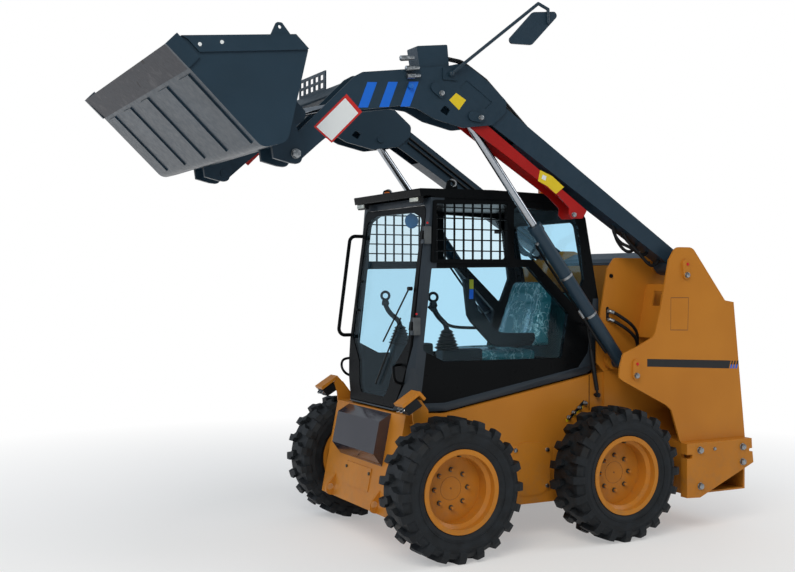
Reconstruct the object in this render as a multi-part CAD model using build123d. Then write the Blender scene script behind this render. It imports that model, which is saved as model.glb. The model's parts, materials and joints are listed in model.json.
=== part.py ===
from build123d import *
import math
import os

# A compact wheeled skid steer loader with radial lift arms, parked with the arms part raised
# and the bucket rolled back. Millimetres. +Z is up, -Y is forward, +X is the machine's left.
# Lengths along Y are measured from mid-wheelbase, and MID_WHEELBASE_Y then moves the whole
# machine so that the origin lies on the ground under the middle of its box.
MID_WHEELBASE_Y = 312.0

# Wheels and axles
WHEELBASE = 1089.0
TYRE_R = 381.0
TYRE_WIDTH = 264.0
LUG_HEIGHT = 27.0
LUGS_PER_ROW = 20
RIM_FLANGE_R = 225.0
RIM_SEAT_R = 206.0       # where the tyre's bead seats
RIM_WELL_R = 186.0       # drop centre of the rim
RIM_HALF = 114.0
RIM_WALL = 7.0
DISC_FACE = -8.5         # outer face of the wheel disc, from the tyre's middle plane
DISC_THICK = 12.0
STUD_PCD = 203.2
STUD_COUNT = 8
STUD_R = 8.0
HUB_R = 128.0
HUB_THICK = 22.0
AXLE_R = 60.0            # axle housing tube
SEAT_GAP = 0.3           # pieces that rest in each other on one body
PIN_GAP = 0.05           # radial clearance of a running pin

# Widths, all taken from the cab's
CAB_HALF = 423.0
CAB_CLEAR = 27.0         # between the cab's side and a tower's inner face
CASE_SEAT = 53.0         # how far a chain case reaches in under the cab's side
ARM_CLEAR = 110.0        # from a tower's inner face to the arm's middle plane
TOWER_DEPTH = 250.0
WHEEL_SET = 205.5        # from a chain case to the tyre's middle plane
TUB_HALF = CAB_HALF + CAB_CLEAR      # outside of the chain cases
CASE_IN = CAB_HALF - CASE_SEAT
ARM_X = TUB_HALF + ARM_CLEAR         # middle plane of an arm, its cylinders and its pins
TOWER_OUT = TUB_HALF + TOWER_DEPTH   # outside face of a tower
WHEEL_X = TUB_HALF + WHEEL_SET

# Chassis tub
TUB_BOTTOM = 205.0
BELLY = 12.0             # belly and bulkhead plate
FRONT_TOP = (-714.0, 756.0)
FRONT_LOW = (-821.0, 208.0)
SILL = ((-596.0, 761.0), (-464.0, 754.0), (505.0, 926.0))
TUB_REAR = 1490.0
REAR_HINGE = (-TUB_HALF - 12.0, 1538.0)   # x, y
REAR_HINGE_Z = (330.0, 980.0)
LOUVRES = 9
BAY_FRONT = 612.0        # bulkhead between cab and engine bay
HOOD_FRONT = 933.0       # wall under the hood's front edge
HOOD_HINGE = (958.0, 1602.0)
HOOD_PIN_R = 9.0
BAY_TOP = 1120.0         # top of the tub beside the engine
LAMP_POST_OUT = TUB_HALF + 50.0
LAMP_POST = 10.0

# Towers that carry the lift arms
TOWER_PLATE = 12.0
ARM_PIVOT = (1025.0, 1591.0)
LIFT_BASE = (658.0, 1011.0)

# Lift arms: two plates with a box boom between them
ARM_HALF = 70.0
ARM_PLATE = 12.0
BOOM_WALL = 8.0
LIFT_PIN = (-407.0, 2377.0)
TILT_BASE = (-638.0, 2513.0)
BUCKET_PIN = (-1441.0, 2117.0)
TILT_PIN = (-1400.0, 2330.0)
PIN_R = 20.0
BRACE_WEB_FROM = 468.0   # where the brace's web starts, along its top edge
ARM_PIN_R = 25.0         # pivot pin of a lift arm

BRACKET_HOLES = 5        # columns of square holes in the hose bracket
HOSE_R = 8.0
HOSE_X = (ARM_X - 15.0, ARM_X + 15.0)
BOOM_TOP = ((-330.0, 2534.0), (1011.0, 1677.0))
TUBE_R = 7.0
MIRROR_X = ARM_X + 185.0

# Cylinders
LIFT_BARREL_R = 38.0
LIFT_BARREL_LONG = 1000.0
LIFT_ROD_R = 22.5
LIFT_ROD_INSIDE = 325.0  # rod hidden in the barrel as parked
TILT_BARREL_R = 38.0
TILT_BARREL_LONG = 560.0
TILT_ROD_R = 20.0
TILT_ROD_INSIDE = 370.0
CYL_WALL = 8.0
EYE_R = 38.0
EYE_HALF = 36.0          # half the width of a cylinder's eye

# Bucket, in its own side view
BUCKET_HALF = 876.0
BUCKET_PLATE = 10.0
HEEL = (-1692.0, 2110.0)
LIP = (-2042.0, 2450.0)
EDGE_TIP = (-2154.0, 2549.0)
BACK_LOW = (-1566.0, 2145.0)
BACK_TOP = (-1461.0, 2592.0)
TOP_REAR = (-1528.0, 2655.0)
TOP_FRONT = (-2082.0, 2593.0)
EDGE_THICK = 22.0
WEAR_STRIP_X = (-734.0, -367.0, 0.0, 367.0, 734.0)
WEAR_STRIP_HALF = 80.0

# Cab
CAB_WALL = 30.0
CAB_FRONT_DEPTH = 90.0   # depth of the front frame with its posts, behind the door's face
GRAB_BAR_X = 9.0 - CAB_HALF
GRAB_BAR_Z = (1155.0, 1761.0)
GRAB_BAR_R = 11.0
GRAB_BAR_PROUD = 75.0
STRUT_X = TUB_HALF + 30.0
STRUT_TOP = (477.0, 1233.0)
STRUT_LOW = (554.0, 813.0)
CAB_REAR = 604.0
DOOR_THICK = 34.0
DOOR_GAP = 6.0
DOOR_LOW = (-705.0, 771.0)    # y, z of the door's outer face at its foot
DOOR_LEAN = 0.1334
# plan sections of the cab: z, the front face's edge in from the cab's side, y of the side's edge
CAB_SECTIONS = ((765, 141, -600), (1010, 47, -640), (1573, 26, -577), (1990, 39, -540))
# right half of the door and its pane: in from the cab's side, z, radius
DOOR_HALF = ((37, 1906), (29, 1570), (29, 1130), (47, 1016), (75, 914), (119, 825), (147, 782))
GLASS_HALF = ((188, 1875, 60), (71, 1840, 40), (67, 1454, 60), (63, 1148, 40), (193, 1010, 40),
              (233, 880, 40), (273, 830, 30))
GLASS_THICK = 6.0
GLASS_SET = 4.0          # how deep the door's pane lies in its frame
DOOR_HINGE_X = CAB_HALF - 11.0
DOOR_HINGE_OUT = -6.0    # hinge pin, from the door's outer face
DOOR_HINGE_Z = (1239.0, 1740.0)
GUARD_PITCH = 60.0
GUARD_WIRE = 7.0
GUARD_ROWS = 6
GUARD_COLUMNS = 10

LEFT = 1
RIGHT = -1


def outline(corners):
    """Closed face from (u, v) or (u, v, radius) corners."""
    edges = []
    ends = []
    count = len(corners)
    turned = sum(corners[i - 1][0] * corners[i][1] - corners[i][0] * corners[i - 1][1] for i in range(count))
    if turned < 0:
        corners = corners[::-1]
    for index in range(count):
        before = Vector(*corners[index - 1][:2])
        here = Vector(*corners[index][:2])
        after = Vector(*corners[(index + 1) % count][:2])
        radius = corners[index][2] if len(corners[index]) > 2 else 0
        if not radius:
            ends.append((here, here))
            continue
        back = (before - here).normalized()
        ahead = (after - here).normalized()
        half = math.radians(back.get_angle(ahead)) / 2
        reach = radius / math.tan(half)
        start = here + back * reach
        end = here + ahead * reach
        middle = here + (back + ahead).normalized() * (radius / math.sin(half) - radius)
        edges.append(ThreePointArc(start, middle, end))
        ends.append((start, end))
    for index in range(count):
        start = ends[index - 1][1]
        end = ends[index][0]
        if (end - start).length > 0.001:
            edges.append(Line(start, end))
    return make_face(edges)


def side_slab(corners, x_low, x_high):
    """Side view corners (y, z[, radius]) made a slab from x_low to x_high."""
    return extrude(Plane.YZ.offset(x_low) * outline(corners), x_high - x_low)


def front_slab(corners, y_low, y_high):
    """Front view corners (x, z[, radius]) made a slab from y_low to y_high."""
    return extrude(Plane.XZ.offset(-y_high) * outline(corners), y_high - y_low)


def box(x_low, x_high, y_low, y_high, z_low, z_high):
    middle = Pos((x_low + x_high) / 2, (y_low + y_high) / 2, (z_low + z_high) / 2)
    return middle * Box(x_high - x_low, y_high - y_low, z_high - z_low)


def cross_rod(point, radius, x_low, x_high):
    """A round bar along X through the side view point."""
    return Pos(x_low, point[0], point[1]) * Rot(0, 90, 0) * Cylinder(
        radius, x_high - x_low, align=(Align.CENTER, Align.CENTER, Align.MIN))


def pair(part):
    """A piece of the left side and its mirror image, as two solids."""
    return Compound(children=[part, mirror(part, Plane.YZ)])


def both(part):
    """A piece of the left side with its mirror image on the right."""
    return part + mirror(part, Plane.YZ)


def sided(part, side):
    """The left-hand piece, or its mirror image."""
    return part if side == LEFT else mirror(part, Plane.YZ)


def along(start, end, distance, aside=0.0):
    """Side view point at a distance from start towards end, and aside of that line."""
    span = math.dist(start, end)
    u = ((end[0] - start[0]) / span, (end[1] - start[1]) / span)
    return (start[0] + u[0] * distance - u[1] * aside, start[1] + u[1] * distance + u[0] * aside)


def line_rod(start, end, first, last, radius, x=ARM_X):
    """A round bar in an arm's plane along start-end, between two distances from start."""
    a = along(start, end, first)
    b = along(start, end, last)
    direction = Vector(0, b[0] - a[0], b[1] - a[1])
    plane = Plane(origin=(x, a[0], a[1]), x_dir=(1, 0, 0), z_dir=direction)
    return plane * Cylinder(radius, last - first, align=(Align.CENTER, Align.CENTER, Align.MIN))


# ---------------------------------------------------------------- wheels
def tyre():
    """Carcass ring with two staggered rows of hooked lugs, about the X axis at the origin."""
    half = TYRE_WIDTH / 2
    tread = TYRE_R - LUG_HEIGHT
    bead = RIM_SEAT_R + SEAT_GAP
    lip = RIM_HALF - 6
    carcass = ((-lip + 2, bead), (lip - 2, bead), (lip, RIM_FLANGE_R), (half - 8, RIM_FLANGE_R + 22),
               (half - 1, 290), (half - 5, 325), (half - 26, tread - 2), (-half + 26, tread - 2),
               (-half + 5, 325), (-half + 1, 290), (-half + 8, RIM_FLANGE_R + 22),
               (-lip, RIM_FLANGE_R))
    body = revolve(Plane.XY * outline(carcass), Axis.X)
    # what a lug may fill: tread crown, shoulder and the top of the side wall
    crown = ((0, 300), (half - 6, 300), (half, 318), (half - 2, 350), (half - 16, TYRE_R - 3),
             (half - 40, TYRE_R), (0, TYRE_R))
    envelope = revolve(Plane.XY * outline(crown), Axis.X)
    hook = ((half + 5, -21), (half + 5, 21), (62, 25), (30, 46), (6, 40), (6, 12), (36, 4), (58, -19))
    lug = extrude(Plane.XY.offset(300) * outline(hook), TYRE_R + 5 - 300)
    lug = lug & envelope
    pitch = 360 / LUGS_PER_ROW
    outer = [Rot(index * pitch, 0, 0) * lug for index in range(LUGS_PER_ROW)]
    inner = [Rot((index + 0.5) * pitch, 0, 0) * mirror(lug, Plane.YZ) for index in range(LUGS_PER_ROW)]
    return body + outer + inner


def rim():
    """Rim barrel with its drop centre, and the bolted disc set well inside it."""
    h = RIM_HALF
    seat = RIM_SEAT_R
    well = RIM_WELL_R
    t = RIM_WALL
    disc_in = DISC_FACE - DISC_THICK
    barrel = ((h, RIM_FLANGE_R), (h - 5.5, RIM_FLANGE_R), (h - 7.5, seat), (h - 40, seat),
              (h - 54, well), (-h + 54, well), (-h + 40, seat), (-h + 7.5, seat),
              (-h + 5.5, RIM_FLANGE_R), (-h, RIM_FLANGE_R), (-h, seat - t), (-h + 38, seat - t),
              (-h + 52, well - t), (h - 52, well - t), (h - 38, seat - t), (h, seat - t))
    wall = revolve(Plane.XY * outline(barrel), Axis.X)
    disc = Pos(disc_in, 0, 0) * Rot(0, 90, 0) * Cylinder(
        well - t / 2, DISC_THICK, align=(Align.CENTER, Align.CENTER, Align.MIN))
    return wall + disc + hub()


def hub():
    """Drive flange and nuts of a wheel, and the stub of the axle shaft behind it."""
    face = DISC_FACE - DISC_THICK
    studs = PolarLocations(STUD_PCD / 2, STUD_COUNT)
    part = Pos(face - HUB_THICK, 0, 0) * Rot(0, 90, 0) * Cylinder(
        HUB_R, HUB_THICK, align=(Align.CENTER, Align.CENTER, Align.MIN))
    part += Pos(face, 0, 0) * Rot(0, 90, 0) * studs * Cylinder(
        STUD_R, DISC_THICK + 24, align=(Align.CENTER, Align.CENTER, Align.MIN))
    part += Pos(face - HUB_THICK - 60, 0, 0) * Rot(0, 90, 0) * Cylinder(
        AXLE_R - 20, 70, align=(Align.CENTER, Align.CENTER, Align.MIN))
    return part


WHEELS = (  # name, side, y
    ("front_left", LEFT, -WHEELBASE / 2),
    ("front_right", RIGHT, -WHEELBASE / 2),
    ("rear_left", LEFT, WHEELBASE / 2),
    ("rear_right", RIGHT, WHEELBASE / 2),
)


def axle_housings():
    """Four tubes out of the chain cases, each with its bolted flange and open to the hub's shaft."""
    tube_end = WHEEL_X + DISC_FACE - DISC_THICK - HUB_THICK - 5
    housings = []
    for _, side, y in WHEELS:
        tube = cross_rod((y, TYRE_R), AXLE_R, TUB_HALF, tube_end)
        tube += cross_rod((y, TYRE_R), AXLE_R + 45, TUB_HALF, TUB_HALF + 18)
        tube -= cross_rod((y, TYRE_R), AXLE_R - 19, TUB_HALF + 30, tube_end + 1)
        housings.append(sided(tube, side))
    return Compound(children=housings)


# ---------------------------------------------------------------- chassis
TUB_SIDE = (FRONT_LOW, FRONT_TOP, SILL[0], SILL[1], SILL[2], (BAY_FRONT, 945), (BAY_FRONT, BAY_TOP),
            (TUB_REAR, BAY_TOP), (TUB_REAR, 240), (1420, TUB_BOTTOM), (-790, TUB_BOTTOM))


def chain_cases():
    """Case on each side, as long as the tub, that holds the drive chains."""
    return pair(side_slab(TUB_SIDE, CASE_IN, TUB_HALF))


def chassis_frame():
    """Sloping front plate, belly, bulkhead and deck between the chain cases."""
    inside = CASE_IN
    tub = side_slab(TUB_SIDE, -inside, inside)
    floor = TUB_BOTTOM + BELLY
    front_room = ((-690, 300), (-660, 2000), (BAY_FRONT, 2000), (BAY_FRONT, floor), (-620, floor))
    tub -= side_slab(front_room, -inside, inside)
    tub -= box(-inside, inside, BAY_FRONT + BELLY, TUB_REAR + 10, floor, BAY_TOP - BELLY)
    return tub - box(-inside, inside, HOOD_FRONT + BELLY, TUB_REAR + 10, floor, BAY_TOP + 10)


def hood_bulkhead():
    """Wall between the towers, under the front edge of the hood."""
    return box(-TUB_HALF, TUB_HALF, HOOD_FRONT, HOOD_FRONT + BELLY, BAY_TOP, HOOD_HINGE[1] - 14)


def plate_y(z):
    """Y of the sloping front plate's outer face."""
    return FRONT_LOW[0] + (z - FRONT_LOW[1]) * (FRONT_TOP[0] - FRONT_LOW[0]) / (FRONT_TOP[1] - FRONT_LOW[1])


def front_step():
    """Folded step box on the front plate."""
    return side_slab(((plate_y(750), 750), (plate_y(458), 458), (-826, 530), (-789, 709)), -280, 280)


def lamp_posts():
    """Post and slanted hood for the work lamp on each front corner."""
    post = side_slab(((-690, 700), (-700, 800), (-720, 860), (-700, 882), (-660, 862), (-600, 785),
                      (-600, 700)),
                     LAMP_POST_OUT - LAMP_POST, LAMP_POST_OUT)
    foot = box(TUB_HALF, LAMP_POST_OUT, -690, -600, 700, 712)
    hood = side_slab(((-808, 833), (-700, 900), (-664, 862), (-676, 850), (-703, 880), (-798, 818)),
                     LAMP_POST_OUT - LAMP_POST, LAMP_POST_OUT + 90)
    return pair(post + foot + hood)


def bolted_covers():
    """Inspection covers on the chain cases and the access panel on the front plate."""
    side = side_slab(((-28, 565, 90), (232, 553, 90), (232, 254, 90), (-28, 253, 90)), TUB_HALF, TUB_HALF + 5)
    low, high = 300, 430
    front = side_slab(((plate_y(low), low), (plate_y(high), high), (plate_y(high) - 5, high),
                       (plate_y(low) - 5, low)), -165, 165)
    return Compound(children=[pair(side), front])


def tie_down_rings():
    """Two lugs at the foot of the front plate, each with its lashing hole."""
    top = 335
    ring = side_slab(((-860, 262, 38), (-860, 215, 30), FRONT_LOW, (plate_y(top), top)), 290, 308)
    return pair(ring - cross_rod((-834, 258), 20, 280, 320))


def tower(side):
    """Weldment of outer plate, inner plate, rear plate, web and lower box that carries one arm."""
    outer = ((905, 1614, 5), (955, 1690, 55), (1085, 1690, 60), (1343, 1372), (1413, 1361), (1508, 535),
             (994, 535), (927, 724, 25), (888, 757), (569, 912, 20), (538, 933, 12), (544, 992, 20),
             (569, 1071, 30), (669, 1108), (796, 1165, 60), (841, 1325))
    inner = ((562, 1138), (638, 1560, 10), (690, 1627, 20), (900, 1627), (955, 1690, 30), (1085, 1690, 60),
             (1343, 1372), (1413, 1361), (1470, 860), (1470, 700), (616, 700), (616, 945), (562, 1000))
    x_out = TOWER_OUT
    x_in = TUB_HALF
    t = TOWER_PLATE
    part = side_slab(outer, x_out - t, x_out)
    part += side_slab(inner, x_in, x_in + t)
    rear = ((1401, 1361), (1413, 1361), (1508, 535), (1508, 215), (1494, 215), (1494, 535))
    part += side_slab(rear, x_in, x_out)
    part += side_slab(((1012, 535), (1500, 535), (1500, 525), (1012, 525)), x_in, x_out)
    part += side_slab(((1000, 535), (1012, 535), (1060, 215), (1048, 215)), x_in, x_out)
    part += side_slab(((1056, 225), (1500, 225), (1500, 215), (1056, 215)), x_in, x_out)
    web = side_slab(((868, 1150), (880, 1150), (948, 1470), (936, 1470)), x_in + t / 2, x_out - t / 2)
    part += web - box(ARM_X - 20, ARM_X + 80, 850, 960, 1340, 1430)
    part += cross_rod(ARM_PIVOT, 55, x_in + t / 2, x_in + t + 8)
    part += cross_rod(LIFT_BASE, 48, x_in + t / 2, x_in + t + 40)
    part -= cross_rod(ARM_PIVOT, ARM_PIN_R + SEAT_GAP / 2, x_in - 50, x_out + 50)
    part -= cross_rod(LIFT_BASE, PIN_R + SEAT_GAP / 2, x_in - 50, x_out + 50)
    part -= cross_rod(HOOD_HINGE, HOOD_PIN_R + PIN_GAP, x_in - 50, x_in + 50)
    part = sided(part, side)
    if side == RIGHT:
        for z in REAR_HINGE_Z:
            for z_low in (z - 52, z + 32):
                part += box(REAR_HINGE[0] - 14, -TUB_HALF, TUB_REAR - 70, REAR_HINGE[1] + 12, z_low, z_low
                            + 20)
            part += Pos(*REAR_HINGE, z) * Cylinder(8, 100)
    return part


def bumper_plates():
    """Thick counterweight plate on each rear corner, with its two tie slots."""
    plate = ((998, 529), (1510, 531), (1513, 483), (1525, 383), (1100, 204), (999, 209))
    part = side_slab(plate, TOWER_OUT, TOWER_OUT + 55)
    part -= side_slab(((985, 464), (1040, 464, 10), (1040, 440, 10), (985, 440)), TOWER_OUT - 1, TOWER_OUT
                      + 56)
    part -= side_slab(((1490, 470, 8), (1540, 470), (1540, 450), (1490, 450, 8)), TOWER_OUT - 1, TOWER_OUT
                      + 56)
    return pair(part)


def pivot_pins():
    """Arm pivot pins and lift cylinder base pins, each with its keeper flag outside the tower."""
    pins = []
    for point, radius, keeper in ((ARM_PIVOT, ARM_PIN_R, (1032, 1525)), (LIFT_BASE, PIN_R, (656, 942))):
        pins.append(cross_rod(point, radius, TUB_HALF, TOWER_OUT + 12)
                    + keeper_flag(point, keeper, TOWER_OUT, 12))
    return Compound(children=[pair(pin) for pin in pins])


def engine_block():
    return box(-210, 210, 960, 1400, TUB_BOTTOM + BELLY, 800)


def rear_hood():
    """Cover over the engine between the towers, hinged at its front edge."""
    rear = (1484, BAY_TOP + 6)
    top = ((HOOD_FRONT + 14, 1592), (975, 1630, 20), (1060, 1668, 40), (1143, 1672, 60), (1404, 1385, 30))
    half = TUB_HALF - 10
    part = side_slab((*top, rear), -half, half)
    inner = ((HOOD_FRONT + 20, 1570), (979, 1625, 20), (1062, 1662, 36), (1140, 1666, 56), (1399, 1382, 26),
             (1478, BAY_TOP), (940, BAY_TOP))
    part -= side_slab(inner, -half + 4, half - 4)
    return part + cross_rod(HOOD_HINGE, HOOD_PIN_R, -TUB_HALF - 8, TUB_HALF + 8)


# ---------------------------------------------------------------- lift arms
GOOSENECK = (
    (-1417, 2078, 30), (-1484, 2112, 38), (-1470, 2178, 30), (-1103, 2535, 12), (-1059, 2560, 20), (-803,
                                                                                                    2597),
    (-559, 2635, 40), (-499, 2651, 20), (-425, 2647, 40), (-301, 2569), (-186, 2475, 30), (-189, 2412, 40),
    (-276, 2338, 60), (-390, 2322), (-458, 2311, 90), (-637, 2348), (-743, 2396, 60), (-839, 2403),
    (-1076, 2365, 120), (-1302, 2180),
)


def boom_box():
    """Hollow boom of one arm, open in front and below where the lift rod passes."""
    outer = (BOOM_TOP[0], (-290, 2348), (958, 1599), BOOM_TOP[1])
    x_low = ARM_X - ARM_HALF + ARM_PLATE
    x_high = ARM_X + ARM_HALF - ARM_PLATE
    part = side_slab(outer, x_low, x_high)
    wall = BOOM_WALL
    room = ((-345, 2534 - wall + 8), (-300, 2340), (-150, 2250), (-100, 2242), (900, 1641), (948, 1700))
    part -= side_slab(room, x_low + wall, x_high - wall)
    return part


def lift_arm(side):
    """One arm: gooseneck plates, top strip, boom and pivot hub."""
    x_low = ARM_X - ARM_HALF
    x_high = ARM_X + ARM_HALF
    part = side_slab(GOOSENECK, x_low, x_low + ARM_PLATE)
    part += side_slab(GOOSENECK, x_high - ARM_PLATE, x_high)
    strip = ((-1059, 2555), (-803, 2597), (-559, 2635), (-499, 2645), (-425, 2642), (-301, 2566),
             (-306, 2556),
             (-430, 2632), (-499, 2635), (-559, 2625), (-803, 2587), (-1059, 2545))
    part += side_slab(strip, x_low + ARM_PLATE / 2, x_high - ARM_PLATE / 2)
    part += boom_box()
    hub_low = TUB_HALF + TOWER_PLATE + 13
    hub_high = TOWER_OUT - TOWER_PLATE - 5
    part += cross_rod(ARM_PIVOT, 68, x_low + ARM_PLATE, x_high - ARM_PLATE)
    part += cross_rod(ARM_PIVOT, 52, hub_low, hub_high)
    part -= cross_rod(ARM_PIVOT, ARM_PIN_R + PIN_GAP, 0, 1000)
    for point in (LIFT_PIN, TILT_BASE, BUCKET_PIN):
        part -= cross_rod(point, PIN_R + SEAT_GAP / 2, x_low - 50, x_high + 50)
    # lightening hole and pressed recess in the outer plate
    part -= side_slab(((-575, 2425, 5), (-539, 2405, 5), (-562, 2369, 5), (-605, 2392, 5)), x_low - 1,
                      x_high + 1)
    part -= side_slab(((-442, 2569, 8), (-276, 2462, 8), (-325, 2420, 8), (-485, 2525, 8)), x_high - 4,
                      x_high + 1)
    return sided(part, side)


def arm_crossmember():
    """Box tube between the goosenecks, flush with their front edge, with the perforated hose bracket."""
    corners = ((-1183, 2454, 12), (-1114, 2524, 12), (-1044, 2453, 12), (-1113, 2383, 12))
    inner = ARM_X - ARM_HALF
    bracket = box(-90, 280, -1118, -1110, 2500, 2622)
    for column in range(BRACKET_HOLES):
        for row in range(2):
            x = -75 + column * 70
            z = 2532 + row * 44
            bracket -= box(x, x + 48, -1119, -1109, z, z + 30)
    return side_slab(corners, -inner, inner) + bracket


def coupler_guard():
    """Box that shields the auxiliary hydraulic couplers on top of the left elbow."""
    box_side = ((-738, 2727, 8), (-552, 2752, 8), (-540, 2625), (-717, 2600))
    return side_slab(box_side, ARM_X - 55, ARM_X + 55) - lift_arm(LEFT)


def boom_hoses():
    """Two hoses from the coupler guard along the left boom's top, and two tubes beside the right boom."""
    start, end = BOOM_TOP
    span = math.dist(start, end)
    rise = HOSE_R + SEAT_GAP
    on_boom = along(start, end, 390, rise)
    last = along(start, end, span - 100, rise)
    made = []
    for x in HOSE_X:
        points = [(x, *point) for point in ((-544.5, 2690), (-440, 2680), (-285, 2592), on_boom, last)]
        route = FilletPolyline(*points, radius=90)
        made.append(sweep(Plane(origin=route @ 0, z_dir=route % 0) * Circle(HOSE_R), route))
    wall = ARM_X - ARM_HALF + ARM_PLATE - TUBE_R - SEAT_GAP
    for drop in (-40, -70):
        a, b = along(start, end, 190, drop), along(start, end, span - 170, drop)
        made.append(mirror(line_rod(a, b, 0, math.dist(a, b), TUBE_R, wall), Plane.YZ))
    return Compound(children=made)


def arm_pins():
    """Pins and keeper flags in the arm plates; a lift rod's eye turns on its own short pin between stubs."""
    x_low = ARM_X - ARM_HALF
    x_high = ARM_X + ARM_HALF
    gap = EYE_HALF + 8
    pins = [
        cross_rod(LIFT_PIN, PIN_R, ARM_X + gap, x_high + 5) + keeper_flag(LIFT_PIN, (-355, 2372), x_high, 10),
        cross_rod(LIFT_PIN, PIN_R, x_low - 10, ARM_X - gap),
        cross_rod(TILT_BASE, PIN_R, x_low - 10, x_high + 5) + keeper_flag(TILT_BASE, (-600, 2485), x_high,
                                                                          10),
        cross_rod(BUCKET_PIN, PIN_R, x_low - 34, x_high + 34),
    ]
    return Compound(children=[pair(pin) for pin in pins])


def keeper_flag(point, keeper, x, thick):
    """Keeper plate on the face at x, from a pin to the bolt that holds it."""
    angle = math.degrees(math.atan2(keeper[1] - point[1], keeper[0] - point[0]))
    span = math.dist(point, keeper)
    root = Plane.YZ.offset(x) * Pos(*point) * Rot(0, 0, angle)
    shape = root * Pos(span / 2, 0) * SlotCenterToCenter(span, 50)
    return extrude(shape, thick)


def mirror_left():
    """Rear view mirror on its bent stalk, fixed to the left gooseneck."""
    x = ARM_X + ARM_HALF
    part = box(x, x + 8, -590, -500, 2560, 2622)
    route = ((x + 18, -545, 2592), (MIRROR_X + 5, -60, 2998), (MIRROR_X + 11, 0, 2972),
             (MIRROR_X + 11, 0, 2900))
    for start, end in zip(route, route[1:]):
        part += bar_between(start, end, 9)
        part += Pos(*end) * Sphere(9)
    part += Pos(*route[0]) * Sphere(16)
    head = side_slab(((-94, 2948, 20), (95, 2972, 20), (-102, 2769, 20), (-271, 2762, 20)),
                     MIRROR_X - 7, MIRROR_X + 7)
    return part + head


def bar_between(start, end, radius):
    """A round bar between two points in space."""
    direction = Vector(*end) - Vector(*start)
    return Plane(origin=start, z_dir=direction) * Cylinder(
        radius, direction.length, align=(Align.CENTER, Align.CENTER, Align.MIN))


# ---------------------------------------------------------------- cylinders
def barrel(base, end, radius, length):
    """Cylinder barrel with its base eye, gland and open bore."""
    tube = line_rod(base, end, 0, length, radius)
    tube += line_rod(base, end, length - 45, length, radius + 5)
    tube += cross_rod(base, EYE_R, ARM_X - EYE_HALF, ARM_X + EYE_HALF)
    return tube


def lift_barrel(side):
    tube = barrel(LIFT_BASE, LIFT_PIN, LIFT_BARREL_R, LIFT_BARREL_LONG)
    tube -= line_rod(LIFT_BASE, LIFT_PIN, EYE_R + 12, LIFT_BARREL_LONG - 45, LIFT_BARREL_R - CYL_WALL)
    tube -= line_rod(LIFT_BASE, LIFT_PIN, EYE_R + 12, LIFT_BARREL_LONG + 1, LIFT_ROD_R + PIN_GAP)
    tube -= cross_rod(LIFT_BASE, PIN_R + PIN_GAP, 0, 1000)
    return sided(tube, side)


def lift_rod(side):
    span = math.dist(LIFT_BASE, LIFT_PIN)
    rod = line_rod(LIFT_BASE, LIFT_PIN, LIFT_BARREL_LONG - LIFT_ROD_INSIDE + 240, span, LIFT_ROD_R)
    rod += cross_rod(LIFT_PIN, EYE_R, ARM_X - EYE_HALF, ARM_X + EYE_HALF)
    rod += cross_rod(LIFT_PIN, PIN_R, ARM_X - EYE_HALF - 6, ARM_X + EYE_HALF + 6)
    return sided(rod, side)


def tilt_barrel(side):
    tube = barrel(TILT_BASE, TILT_PIN, TILT_BARREL_R, TILT_BARREL_LONG)
    tube -= line_rod(TILT_BASE, TILT_PIN, EYE_R + 12, TILT_BARREL_LONG - 45, TILT_BARREL_R - CYL_WALL)
    tube -= line_rod(TILT_BASE, TILT_PIN, EYE_R + 12, TILT_BARREL_LONG + 1, TILT_ROD_R + PIN_GAP)
    tube -= cross_rod(TILT_BASE, PIN_R + PIN_GAP, 0, 1000)
    return sided(tube, side)


def tilt_rod(side):
    span = math.dist(TILT_BASE, TILT_PIN)
    rod = line_rod(TILT_BASE, TILT_PIN, TILT_BARREL_LONG - TILT_ROD_INSIDE, span, TILT_ROD_R)
    rod += cross_rod(TILT_PIN, EYE_R - 4, ARM_X - EYE_HALF, ARM_X + EYE_HALF)
    rod += cross_rod(TILT_PIN, PIN_R, ARM_X - EYE_HALF - 6, ARM_X + EYE_HALF + 6)
    return sided(rod, side)


# ---------------------------------------------------------------- safety brace
def safety_brace():
    """Red channel stowed under the left boom, swung down over the lift rod to lock raised arms."""
    flange = ((-440, 2400, 30), (-400, 2425, 30), (-290, 2332), (372, 1893, 6), (361, 1873), (342, 1846, 15),
              (268, 1844, 18), (246, 1868, 10), (250, 1905, 15), (170, 1972), (-360, 2290), (-430, 2335, 40))
    part = Part()
    for x in (ARM_X - 53, ARM_X + 45):
        part += side_slab(flange, x, x + 8)
    # the web is short, so that the brace swings down past the lift rod
    top, tip = (-290, 2332), (372, 1893)
    long = math.dist(top, tip)
    web = (along(top, tip, BRACE_WEB_FROM), tip, along(top, tip, long, -11),
           along(top, tip, BRACE_WEB_FROM, -11))
    part += side_slab(web, ARM_X - 53, ARM_X + 53)
    part -= cross_rod(LIFT_PIN, PIN_R + PIN_GAP, 0, 1000)
    return part


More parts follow.
